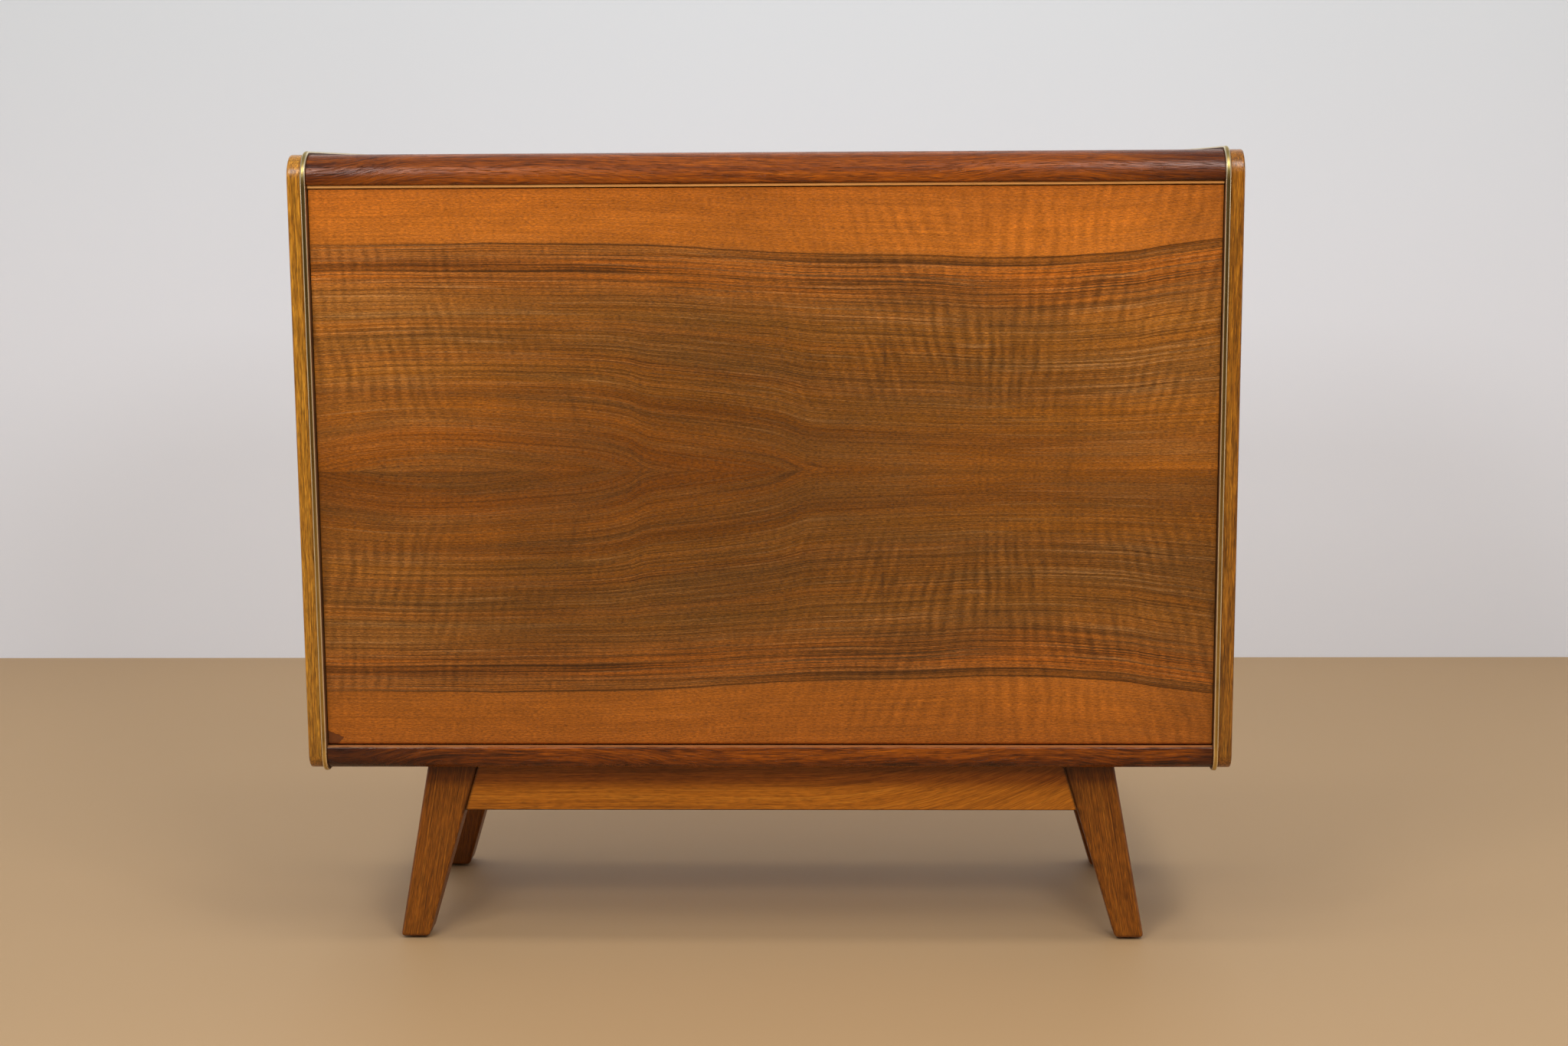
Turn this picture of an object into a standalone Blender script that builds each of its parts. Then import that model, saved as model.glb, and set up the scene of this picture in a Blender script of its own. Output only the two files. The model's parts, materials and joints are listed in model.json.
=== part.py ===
"""Bar cabinet with a fall-front flap, on a splayed leg frame.

Metres, +Z up. The front faces -Y, +X is on the right of someone who faces the cabinet, and the
origin is on the floor under the middle of the whole cabinet. The front leans: its top stands
further forward than its foot. The flap turns about a pin near its lower front edge.
"""

import math

import bmesh
import bpy
from mathutils import Matrix, Vector

# Whole cabinet
WIDTH = 0.950
HEIGHT = 0.8244  # floor to the upper face of the top
BODY_BASE = 0.1949  # floor to the underside of the body
BASE_DEPTH = 0.412  # front line to back at the body's underside
FRONT_LEAN = math.radians(2.4)
TOP_CORNER_RADIUS = 0.025
BOTTOM_CORNER_RADIUS = 0.017
BACK_CORNER_RADIUS = 0.006
ARC_STEPS = 12

# Clearances
SEAT_GAP = 0.0003  # between pieces that touch
RUNNING_GAP = 0.0004  # beside what turns or slides
SHAFT_GAP = 0.00008  # round a shaft in its hole
OVERRUN = 0.004  # how far a cutter passes what it cuts
MERGE_DISTANCE = 0.000004
SAME_PLACE = 0.0003  # points this near are taken as one when edges are chosen

# Cheeks and beads
CHEEK_THICKNESS = 0.014
CHEEK_OUTER_ARRIS = 0.0020
CHEEK_INNER_ARRIS = 0.0008
BEAD_WIDTH = 0.0050
BEAD_PROUD = 0.0035
BEAD_STEM = 0.0070
BEAD_CREST_RADIUS = 0.0022
BEAD_BACK_INSET = 0.0040

# Carcass
BOARD_THICKNESS = 0.022
TOP_NOSING_HEIGHT = 0.0303
TOP_NOSING_FLAT = 0.015  # what the rails have behind their rounded corners
BOTTOM_NOSING_FLAT = 0.019
BOTTOM_NOSING_HEIGHT = 0.0242
NOSING_ARRIS = 0.0026
LIPPING_THICKNESS = 0.0030
LIPPING_RECESS = 0.0050
INNER_SIDE_THICKNESS = 0.012
BACK_THICKNESS = 0.005
BACK_INSET = 0.006
RIGHT_BAY_WIDTH = 0.3007
PARTITION_THICKNESS = 0.016
PARTITION_SETBACK = 0.008
BOARD_ARRIS = 0.0006

# Flap
FLAP_RECESS = 0.0070
FLAP_PANEL_THICKNESS = 0.0170
FLAP_SIDE_GAP = 0.0007
FLAP_BASE_GAP = 0.0013
FLAP_TOP_GAP = 0.0011
FLAP_STOP_GAP = 0.0005
FLAP_FOOT_RADIUS = 0.0028
FLAP_ARRIS = 0.0007
LINING_THICKNESS = 0.0012
LINING_SIDE_MARGIN = 0.026
LINING_END_MARGIN = 0.012
LINING_ARRIS = 0.0003
PIVOT_SETBACK = 0.0040  # axis to the flap's front face and to its lower edge

# Pivots
PIN_RADIUS = 0.0020
PIN_IN_CHEEK = 0.0090
PIN_IN_BUSH = 0.0120
PIN_COLLAR_RADIUS = 0.0032
BUSH_RADIUS = 0.0030
BUSH_LENGTH = 0.0140
ROUND_STEPS = 20
SMALL_ROUND_STEPS = 12

# Stays: the flap's and the wall's pivots lie equally far from the flap's axis
STAY_HEIGHT = 0.200  # flap pivot above the flap's axis
STAY_STANDOFF = 0.0110  # flap pivot behind the flap's panel
STAY_GUIDE_SETBACK = 0.0270  # wall pivot behind the flap pivot
STAY_ARM_HEIGHT = 0.012
STAY_ARM_THICKNESS = 0.0025
STAY_STOP_RADIUS = 0.0095
STAY_RIVET_RADIUS = 0.0025
STAY_RIVET_HEAD_RADIUS = 0.0042
STAY_RIVET_HEAD_HEIGHT = 0.0012
STAY_EAR_RADIUS = 0.0065
STAY_EAR_THICKNESS = 0.0025
STAY_FOOT_LENGTH = 0.044
STAY_FOOT_WIDTH = 0.014
STAY_FOOT_THICKNESS = 0.0022
GUIDE_LENGTH = 0.022
GUIDE_HEIGHT = 0.0195
GUIDE_OUTER_WALL = 0.0035
GUIDE_INNER_WALL = 0.0016
GUIDE_WALL_GAP = 0.0010
STUD_RADIUS = 0.0030
STUD_IN_WALL = 0.0080
STUD_IN_GUIDE = 0.0024

# Touch latches
LATCH_DROP = 0.040  # latch axis below the flap's upper edge
LATCH_HEIGHT = 0.016
LATCH_WIDTH = 0.013
LATCH_LENGTH = 0.042
LATCH_ARRIS = 0.0010
LATCH_TRAVEL = 0.0030
PLUNGER_RADIUS = 0.0035
PLUNGER_TIP_RADIUS = 0.0042
PLUNGER_TIP_LENGTH = 0.0022
PLUNGER_LENGTH = 0.028
PLUNGER_SHOWING = 0.0060
STRIKE_SIZE = 0.0115
STRIKE_THICKNESS = 0.0015

# Shelves
SHELF_SETBACK = 0.050
SHELF_BACK_GAP = 0.003
SHELF_SIDE_GAP = 0.0010
GLASS_SHELF_RISE = 0.360  # its underside above the cabinet's floor
GLASS_THICKNESS = 0.006
WOOD_SHELF_RISE = 0.300
WOOD_SHELF_THICKNESS = 0.016
SHELF_ARRIS = 0.0008
PEG_RADIUS = 0.0025
PEG_IN_WALL = 0.0070
PEG_SHOWING = 0.0090
PEG_FROM_SHELF_END = 0.032
MIRROR_THICKNESS = 0.004
MIRROR_MARGIN = 0.012

# Leg frame
LEG_SETBACK = 0.051  # front legs behind the front line at the body's underside
LEG_PITCH = 0.2925  # front legs' front faces to rear legs' front faces
LEG_DEPTH = 0.042
LEG_TOP_INSET = 0.1160  # cabinet's side to a leg's outer edge at its top, and at the floor
LEG_TOP_WIDTH = 0.0530
LEG_FOOT_INSET = 0.0812
LEG_FOOT_WIDTH = 0.0299
LEG_ARRIS = 0.0040
GLIDE_RADIUS = 0.0100
GLIDE_HEIGHT = 0.0020
APRON_HEIGHT = 0.0560
APRON_THICKNESS = 0.020
APRON_SETBACK = 0.0055
APRON_ARRIS = 0.0012
SCREW_RADIUS = 0.0025
SCREW_HEAD_RADIUS = 0.0048
SCREW_HEAD_HEIGHT = 0.0030
SCREW_IN_BOARD = 0.0150
SCREW_FROM_APRON_END = 0.050

# Worked out from the sizes above
FRONT_ANGLE = math.pi + FRONT_LEAN  # outward direction of the front, from +Y towards +Z
LEAN_SIN = math.sin(FRONT_LEAN)
LEAN_COS = math.cos(FRONT_LEAN)
TOP_CENTRE_FROM_FOOT = (
    TOP_CORNER_RADIUS / LEAN_COS - (HEIGHT - TOP_CORNER_RADIUS - BODY_BASE) * math.tan(FRONT_LEAN)
)
FOREMOST_FROM_FOOT = TOP_CENTRE_FROM_FOOT - TOP_CORNER_RADIUS - BEAD_PROUD
FRONT_FOOT_Y = -(FOREMOST_FROM_FOOT + BASE_DEPTH) / 2
BACK_Y = FRONT_FOOT_Y + BASE_DEPTH


def front_y(z, inset=0.0):
    """Y of the leaning front line at height z, moved in by inset square to the front."""
    return FRONT_FOOT_Y - (z - BODY_BASE) * math.tan(FRONT_LEAN) + inset / LEAN_COS


CHEEK_INNER = WIDTH / 2 - CHEEK_THICKNESS
BOARD_END = CHEEK_INNER - SEAT_GAP
BEAD_INNER = BOARD_END - BEAD_WIDTH
INNER_SIDE_FACE = BOARD_END - INNER_SIDE_THICKNESS
PARTITION_RIGHT = INNER_SIDE_FACE - RIGHT_BAY_WIDTH
PARTITION_LEFT = PARTITION_RIGHT - PARTITION_THICKNESS
FLOOR = BODY_BASE + BOARD_THICKNESS
CEILING = HEIGHT - BOARD_THICKNESS
TOP_CENTRE = Vector((FRONT_FOOT_Y + TOP_CENTRE_FROM_FOOT, HEIGHT - TOP_CORNER_RADIUS))
BOTTOM_CENTRE = Vector((
    front_y(BODY_BASE + BOTTOM_CORNER_RADIUS, BOTTOM_CORNER_RADIUS),
    BODY_BASE + BOTTOM_CORNER_RADIUS,
))
TOP_NOSING_BASE = HEIGHT - TOP_NOSING_HEIGHT
TOP_NOSING_BACK = TOP_CENTRE.x + TOP_NOSING_FLAT
LIPPING_TOP = TOP_NOSING_BASE - SEAT_GAP
LIPPING_BASE = LIPPING_TOP - LIPPING_THICKNESS
LEDGE = BODY_BASE + BOTTOM_NOSING_HEIGHT
WALL_INSET = FLAP_RECESS + FLAP_PANEL_THICKNESS + FLAP_STOP_GAP
BOTTOM_NOSING_BACK = BOTTOM_CENTRE.x + BOTTOM_NOSING_FLAT
BACK_PANEL_FRONT = BACK_Y - BACK_INSET - BACK_THICKNESS
MIRROR_FRONT = BACK_PANEL_FRONT - SEAT_GAP - MIRROR_THICKNESS

AXIS_Z = LEDGE + FLAP_BASE_GAP + PIVOT_SETBACK * (LEAN_SIN + LEAN_COS)
AXIS_Y = front_y(AXIS_Z, FLAP_RECESS + PIVOT_SETBACK)
FLAP_HALF_WIDTH = BEAD_INNER - FLAP_SIDE_GAP
FLAP_HEIGHT = (LIPPING_BASE - FLAP_TOP_GAP - LEDGE - FLAP_BASE_GAP) / LEAN_COS
FLAP_TOP = FLAP_HEIGHT - PIVOT_SETBACK  # above the axis, along the flap
PANEL_BACK = FLAP_PANEL_THICKNESS - PIVOT_SETBACK  # behind the axis, square to the flap
LINING_HALF_WIDTH = INNER_SIDE_FACE - LINING_SIDE_MARGIN

STAY_PIVOT_BACK = PANEL_BACK + STAY_STANDOFF
STAY_REACH = math.hypot(STAY_PIVOT_BACK, STAY_HEIGHT)
FLAP_PIVOT_ANGLE = math.atan2(STAY_HEIGHT, STAY_PIVOT_BACK)
WALL_PIVOT_ANGLE = math.acos((STAY_PIVOT_BACK + STAY_GUIDE_SETBACK) / STAY_REACH)
FLAP_TRAVEL = math.pi / 2 - FRONT_LEAN
OPEN_SPAN = 2 * STAY_REACH * math.sin((FLAP_PIVOT_ANGLE - WALL_PIVOT_ANGLE + FLAP_TRAVEL) / 2)
STAY_ARM_LENGTH = OPEN_SPAN + GUIDE_LENGTH / 2 + STAY_STOP_RADIUS + SEAT_GAP
STAY_ARM_DIP = math.pi / 2 - (FLAP_PIVOT_ANGLE + WALL_PIVOT_ANGLE) / 2  # below square to the flap
GUIDE_OUTER = INNER_SIDE_FACE - GUIDE_WALL_GAP
STAY_ARM_OUTER = GUIDE_OUTER - GUIDE_OUTER_WALL - RUNNING_GAP
STAY_ARM_INNER = STAY_ARM_OUTER - STAY_ARM_THICKNESS
GUIDE_INNER = STAY_ARM_INNER - RUNNING_GAP - GUIDE_INNER_WALL

LEG_FRONT_Y = FRONT_FOOT_Y + LEG_SETBACK
LEG_TOP_OUTER = WIDTH / 2 - LEG_TOP_INSET
LEG_FOOT_OUTER = WIDTH / 2 - LEG_FOOT_INSET

# Outlines drawn in Y and Z with their thickness along X, and in X and Z with it along Y
SIDE_VIEW = Matrix(((0, 0, 1, 0), (1, 0, 0, 0), (0, 1, 0, 0), (0, 0, 0, 1)))
FRONT_VIEW = Matrix(((1, 0, 0, 0), (0, 0, -1, 0), (0, 1, 0, 0), (0, 0, 0, 1)))
ALONG_X = Matrix.Rotation(math.pi / 2, 4, "Y")
ALONG_BACK = Matrix.Rotation(-math.pi / 2, 4, "X")
UPRIGHT = Matrix.Identity(4)


def new_collection(name):
    collection = bpy.data.collections.new(name)
    bpy.context.scene.collection.children.link(collection)
    return collection


def make_material(name, colour, roughness, metallic=0.0, transmission=0.0):
    material = bpy.data.materials.new(name)
    material.use_nodes = True
    shader = material.node_tree.nodes["Principled BSDF"]
    shader.inputs["Base Color"].default_value = (*colour, 1.0)
    shader.inputs["Roughness"].default_value = roughness
    shader.inputs["Metallic"].default_value = metallic
    shader.inputs["Transmission Weight"].default_value = transmission
    return material


def add_mesh(name, mesh, material, place=UPRIGHT, parent=None):
    """A new object in the cabinet's collection, placed under its parent if it has one."""
    obj = bpy.data.objects.new(name, mesh)
    mesh.materials.clear()
    mesh.materials.append(material)
    obj.parent = parent
    obj.matrix_basis = place
    PARTS.objects.link(obj)
    return obj


def block(name, low, high, material, arris=0.0, steps=1, parent=None):
    """A box between two corners, with its arrises rounded."""
    low, high = Vector(low), Vector(high)
    mesh = bpy.data.meshes.new(name)
    shape = bmesh.new()
    bmesh.ops.create_cube(shape, size=1.0)
    bmesh.ops.scale(shape, vec=high - low, verts=shape.verts)
    if arris:
        bmesh.ops.bevel(
            shape, geom=shape.edges[:], offset=arris, segments=steps, profile=0.5, affect="EDGES"
        )
    shape.to_mesh(mesh)
    shape.free()
    return add_mesh(name, mesh, material, Matrix.Translation((low + high) / 2), parent)


def plate(name, outline, thickness, middle, view, material, parent=None):
    """A flat closed outline given thickness about its middle plane."""
    curve = bpy.data.curves.new(name, "CURVE")
    curve.dimensions = "2D"
    curve.fill_mode = "BOTH"
    curve.extrude = thickness / 2
    spline = curve.splines.new("POLY")
    spline.points.add(len(outline) - 1)
    for point, (across, up) in zip(spline.points, outline):
        point.co = (across, up, 0.0, 1.0)
    spline.use_cyclic_u = True
    drawn = bpy.data.objects.new(name + "_drawn", curve)
    drawn.matrix_world = Matrix.Translation(middle) @ view
    PARTS.objects.link(drawn)
    bpy.context.view_layer.update()
    evaluated = drawn.evaluated_get(bpy.context.evaluated_depsgraph_get())
    mesh = bpy.data.meshes.new_from_object(evaluated)
    place = drawn.matrix_world.copy()
    bpy.data.objects.remove(drawn)
    mesh.name = name
    shape = bmesh.new()
    shape.from_mesh(mesh)
    bmesh.ops.remove_doubles(shape, verts=shape.verts, dist=MERGE_DISTANCE)
    bmesh.ops.recalc_face_normals(shape, faces=shape.faces)
    bmesh.ops.dissolve_limit(
        shape, angle_limit=math.radians(1), verts=shape.verts, edges=shape.edges
    )
    shape.to_mesh(mesh)
    shape.free()
    return add_mesh(name, mesh, material, place, parent)


def turned(name, profile, place, material, steps=ROUND_STEPS, parent=None):
    """A turned solid. The profile lists radius and height down its outer side; a tube's closes."""
    mesh = bpy.data.meshes.new(name)
    shape = bmesh.new()
    corners = [shape.verts.new((radius, 0.0, height)) for radius, height in profile]
    for first, second in zip(corners, corners[1:]):
        shape.edges.new((first, second))
    if profile[0][0] > 0.0:
        shape.edges.new((corners[-1], corners[0]))
    shape.to_mesh(mesh)
    shape.free()
    obj = add_mesh(name, mesh, material, place, parent)
    screw = obj.modifiers.new("Turn", "SCREW")
    screw.steps = steps
    screw.render_steps = steps
    screw.use_merge_vertices = True
    screw.merge_threshold = MERGE_DISTANCE
    screw.use_smooth_shade = True
    return obj


def peg_profile(radius, length, chamfer):
    """Profile of a pin that stands on its lower end, with both rims chamfered."""
    return [
        (0.0, length),
        (radius - chamfer, length),
        (radius, length - chamfer),
        (radius, chamfer),
        (radius - chamfer, 0.0),
        (0.0, 0.0),
    ]


def round_edges(obj, width, steps, chosen):
    """Rounds the edges for which chosen(first end, second end) is true, in the mesh's own axes."""
    shape = bmesh.new()
    shape.from_mesh(obj.data)
    edges = [edge for edge in shape.edges if chosen(edge.verts[0].co, edge.verts[1].co)]
    bmesh.ops.bevel(
        shape, geom=edges, offset=width, segments=steps, profile=0.5, affect="EDGES",
        clamp_overlap=True,
    )
    shape.to_mesh(obj.data)
    shape.free()


def as_cutter(obj):
    """Moves an object to the cutters, which are guides and not pieces."""
    PARTS.objects.unlink(obj)
    CUTTERS.objects.link(obj)
    obj.hide_render = True
    obj.display_type = "WIRE"
    return obj


def combine(obj, other, operation="DIFFERENCE"):
    """Cuts the other object out of this one, or joins it on."""
    boolean = obj.modifiers.new(other.name, "BOOLEAN")
    boolean.operation = operation
    boolean.object = other
    return obj


def drill(obj, name, radius, place, depth, parent=None):
    """A round blind hole: place has its mouth at the origin and its depth along +Z."""
    start = Matrix.Translation((0.0, 0.0, -OVERRUN))
    profile = [(0.0, depth + OVERRUN), (radius, depth + OVERRUN), (radius, 0.0), (0.0, 0.0)]
    hole = turned(name, profile, place @ start, WOOD_CUT, parent=parent)
    combine(obj, as_cutter(hole))


def arc(centre, radius, start, end, steps=ARC_STEPS):
    """Points round a centre, between two directions measured from +Y towards +Z."""
    angles = [start + (end - start) * step / steps for step in range(steps + 1)]
    return [centre + radius * Vector((math.cos(angle), math.sin(angle))) for angle in angles]


def front_outline(offset=0.0):
    """The body's front, from the underside round both corners to the top, moved out by offset."""
    lower = arc(BOTTOM_CENTRE, BOTTOM_CORNER_RADIUS + offset, 3 * math.pi / 2, FRONT_ANGLE)
    upper = arc(TOP_CENTRE, TOP_CORNER_RADIUS + offset, FRONT_ANGLE, math.pi / 2)
    return lower + upper


def front_stretch(low, high):
    """The part of the body's front outline between two heights."""
    kept = []
    points = front_outline()
    for first, second in zip(points, points[1:]):
        for level in (low, high):
            if first.y < level < second.y:
                share = (level - first.y) / (second.y - first.y)
                kept.append(first.lerp(second, share))
        if low <= second.y <= high:
            kept.append(second)
    return [points[0]] + kept if low <= points[0].y else kept


def mirrored(low, high, side):
    """A span along X, measured on the right, put on the named side."""
    return (low, high) if side > 0 else (-high, -low)


def side_name(side):
    return "right" if side > 0 else "left"


def wall_outline(inset):
    """An upright board that fills the carcass from the flap to the back panel."""
    return [
        Vector((BOTTOM_NOSING_BACK + SEAT_GAP, FLOOR + SEAT_GAP)),
        Vector((BOTTOM_NOSING_BACK + SEAT_GAP, LEDGE + SEAT_GAP)),
        Vector((front_y(LEDGE, inset), LEDGE + SEAT_GAP)),
        Vector((front_y(LIPPING_BASE, inset), LIPPING_BASE - SEAT_GAP)),
        Vector((TOP_NOSING_BACK + SEAT_GAP, LIPPING_BASE - SEAT_GAP)),
        Vector((TOP_NOSING_BACK + SEAT_GAP, CEILING - SEAT_GAP)),
        Vector((BACK_PANEL_FRONT - SEAT_GAP, CEILING - SEAT_GAP)),
        Vector((BACK_PANEL_FRONT - SEAT_GAP, FLOOR + SEAT_GAP)),
    ]


def make_cheek(side):
    """An outer side panel: a board whose outline leans and rounds at its corners."""
    back = BACK_Y - BACK_CORNER_RADIUS
    radius = BACK_CORNER_RADIUS
    upper = arc(Vector((back, HEIGHT - radius)), radius, math.pi / 2, 0.0, ARC_STEPS // 3)
    lower = arc(Vector((back, BODY_BASE + radius)), radius, 0.0, -math.pi / 2, ARC_STEPS // 3)
    middle = side * (CHEEK_INNER + CHEEK_THICKNESS / 2)
    cheek = plate(
        "side_panel_" + side_name(side), front_outline() + upper + lower, CHEEK_THICKNESS,
        (middle, 0.0, 0.0), SIDE_VIEW, SIDE_WOOD,
    )

    round_edges(cheek, CHEEK_OUTER_ARRIS, 3, lambda a, b: min(a.z * side, b.z * side) > 0)
    round_edges(cheek, CHEEK_INNER_ARRIS, 1, lambda a, b: max(a.z * side, b.z * side) < 0)
    return cheek


def make_bead(side):
    """The brass bead: a half-round crest on a stem that follows the front outline."""
    end = BACK_Y - BEAD_BACK_INSET
    crest = front_outline(BEAD_PROUD)
    stem = front_outline(-BEAD_STEM)
    crest = [Vector((end, crest[0].y))] + crest + [Vector((end, crest[-1].y))]
    stem = [Vector((end, stem[0].y))] + stem + [Vector((end, stem[-1].y))]
    bead = plate(
        "side_bead_" + side_name(side), crest + stem[::-1], BEAD_WIDTH,
        (side * (BEAD_INNER + BEAD_WIDTH / 2), 0.0, 0.0), SIDE_VIEW, BRASS,
    )

    def on_crest(a, b):
        same_face = abs(a.z - b.z) < BEAD_WIDTH / 2
        return same_face and near_line(a, crest) and near_line(b, crest)

    round_edges(bead, BEAD_CREST_RADIUS, 3, on_crest)
    return bead


def near_line(point, line):
    return any((Vector((point.x, point.y)) - spot).length < SAME_PLACE for spot in line)


def front_corner(point, level):
    """Whether a point of a rail's outline is its corner at the front at this height."""
    return abs(point.y - level) < SAME_PLACE and point.x < front_y(level, NOSING_ARRIS)


def bead_channel(side):
    """Cutter for the rebate that a bead's stem lies in, at the ends of boards and rails."""
    past_back = BACK_Y + OVERRUN
    outer = front_outline(OVERRUN)
    inner = front_outline(-BEAD_STEM - SEAT_GAP)
    outer = [Vector((past_back, outer[0].y))] + outer + [Vector((past_back, outer[-1].y))]
    inner = [Vector((past_back, inner[0].y))] + inner + [Vector((past_back, inner[-1].y))]
    low = BEAD_INNER - SEAT_GAP
    high = BOARD_END + OVERRUN
    return as_cutter(plate(
        "bead_channel_" + side_name(side), outer + inner[::-1], high - low,
        (side * (low + high) / 2, 0.0, 0.0), SIDE_VIEW, WOOD_CUT,
    ))


def make_carcass():
    """Top, bottom, rails, lipping, back, inner sides and partition."""
    width = 2 * BOARD_END
    channels = [bead_channel(side) for side in (-1, 1)]
    top_outline = front_stretch(TOP_NOSING_BASE, HEIGHT) + [
        Vector((TOP_NOSING_BACK, HEIGHT)),
        Vector((TOP_NOSING_BACK, TOP_NOSING_BASE)),
    ]
    top_nosing = plate(
        "top_nosing", top_outline, width, (0.0, 0.0, 0.0), SIDE_VIEW, ROSEWOOD
    )
    bottom_outline = front_stretch(BODY_BASE, LEDGE) + [
        Vector((BOTTOM_NOSING_BACK, LEDGE)),
        Vector((BOTTOM_NOSING_BACK, BODY_BASE)),
    ]
    bottom_nosing = plate(
        "bottom_nosing", bottom_outline, width, (0.0, 0.0, 0.0), SIDE_VIEW, ROSEWOOD
    )
    for nosing, level in ((top_nosing, TOP_NOSING_BASE), (bottom_nosing, LEDGE)):
        round_edges(nosing, NOSING_ARRIS, 3, lambda a, b: (
            front_corner(a, level) and front_corner(b, level)
        ))
    top_board = block(
        "top_board", (-BOARD_END, TOP_NOSING_BACK + SEAT_GAP, CEILING),
        (BOARD_END, BACK_Y, HEIGHT), WALNUT,
    )
    bottom_board = block(
        "bottom_board", (-BOARD_END, BOTTOM_NOSING_BACK + SEAT_GAP, BODY_BASE),
        (BOARD_END, BACK_Y, FLOOR), PLAIN_WOOD,
    )
    for piece in (top_nosing, bottom_nosing, top_board, bottom_board):
        for channel in channels:
            combine(piece, channel)
    block(
        "top_lipping", (-BEAD_INNER + SEAT_GAP, front_y(LIPPING_BASE, LIPPING_RECESS), LIPPING_BASE),
        (BEAD_INNER - SEAT_GAP, TOP_NOSING_BACK, LIPPING_TOP), PALE_WOOD,
    )
    block(
        "back_panel", (-BOARD_END, BACK_PANEL_FRONT, FLOOR + SEAT_GAP),
        (BOARD_END, BACK_Y - BACK_INSET, CEILING - SEAT_GAP), PLAIN_WOOD, BOARD_ARRIS,
    )
    walls = {}
    for side in (-1, 1):
        name = "inner_side_" + side_name(side)
        middle = side * (INNER_SIDE_FACE + INNER_SIDE_THICKNESS / 2)
        walls[side] = plate(
            name, wall_outline(WALL_INSET), INNER_SIDE_THICKNESS, (middle, 0.0, 0.0), SIDE_VIEW,
            PALE_WOOD,
        )
    walls[0] = plate(
        "partition", wall_outline(WALL_INSET + PARTITION_SETBACK), PARTITION_THICKNESS,
        ((PARTITION_LEFT + PARTITION_RIGHT) / 2, 0.0, 0.0), SIDE_VIEW, PALE_WOOD,
    )
    return bottom_board, walls


def make_flap():
    """The flap's panel and lining, in the flap's own axes with the pivot axis at the origin."""
    panel = block(
        "flap_panel", (-FLAP_HALF_WIDTH, -PIVOT_SETBACK, -PIVOT_SETBACK),
        (FLAP_HALF_WIDTH, PANEL_BACK, FLAP_TOP), WALNUT, parent=FLAP_AXIS,
    )
    edge = FLAP_HEIGHT / 2 - SAME_PLACE

    def at_foot(a, b):
        return max(a.z, b.z) < -edge and a.x * b.x < 0

    def at_top(a, b):
        return min(a.z, b.z) > edge and a.x * b.x < 0

    round_edges(panel, FLAP_FOOT_RADIUS, 3, at_foot)
    round_edges(panel, FLAP_ARRIS, 1, at_top)
    lining_front = PANEL_BACK + SEAT_GAP
    block(
        "flap_lining", (-LINING_HALF_WIDTH, lining_front, LINING_END_MARGIN - PIVOT_SETBACK),
        (LINING_HALF_WIDTH, lining_front + LINING_THICKNESS, FLAP_TOP - LINING_END_MARGIN),
        LAMINATE, LINING_ARRIS, parent=FLAP_AXIS,
    )
    return panel


def make_pivot(side, cheek, panel):
    """A pin fixed in the cheek, and the bush that turns on it in the flap's end."""
    mouth = FLAP_HALF_WIDTH
    bush_place = Matrix.Translation((side * (mouth - SEAT_GAP), 0.0, 0.0)) @ facing(-side)
    bore = PIN_RADIUS + SHAFT_GAP
    bush = [(BUSH_RADIUS, BUSH_LENGTH), (BUSH_RADIUS, 0.0), (bore, 0.0), (bore, BUSH_LENGTH)]
    turned("pivot_bush_" + side_name(side), bush, bush_place, BRASS, parent=FLAP_AXIS)
    drill(
        panel, "bush_hole_" + side_name(side), BUSH_RADIUS + SEAT_GAP,
        Matrix.Translation((side * mouth, 0.0, 0.0)) @ facing(-side),
        BUSH_LENGTH + 2 * SEAT_GAP, FLAP_AXIS,
    )
    start = mouth - PIN_IN_BUSH
    collar_start = mouth + RUNNING_GAP - start
    collar_end = CHEEK_INNER - SEAT_GAP - start
    length = CHEEK_INNER + PIN_IN_CHEEK - SEAT_GAP - start
    profile = [
        (0.0, length),
        (PIN_RADIUS, length),
        (PIN_RADIUS, collar_end),
        (PIN_COLLAR_RADIUS, collar_end),
        (PIN_COLLAR_RADIUS, collar_start),
        (PIN_RADIUS, collar_start),
        (PIN_RADIUS, 0.0),
        (0.0, 0.0),
    ]
    pin_place = Matrix.Translation((side * start, AXIS_Y, AXIS_Z)) @ facing(side)
    turned("pivot_pin_" + side_name(side), profile, pin_place, BRASS)
    drill(
        cheek, "pin_hole_" + side_name(side), PIN_RADIUS + SEAT_GAP,
        Matrix.Translation((side * CHEEK_INNER, AXIS_Y, AXIS_Z)) @ facing(side), PIN_IN_CHEEK,
    )


def facing(side):
    """Turns +Z to +X on the right and to -X on the left."""
    return Matrix.Rotation(side * math.pi / 2, 4, "Y")


def stay_direction():
    """Unit vector along a stay's arm with the flap shut, in the flap's Y and Z."""
    return Vector((math.cos(STAY_ARM_DIP), -math.sin(STAY_ARM_DIP)))


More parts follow.
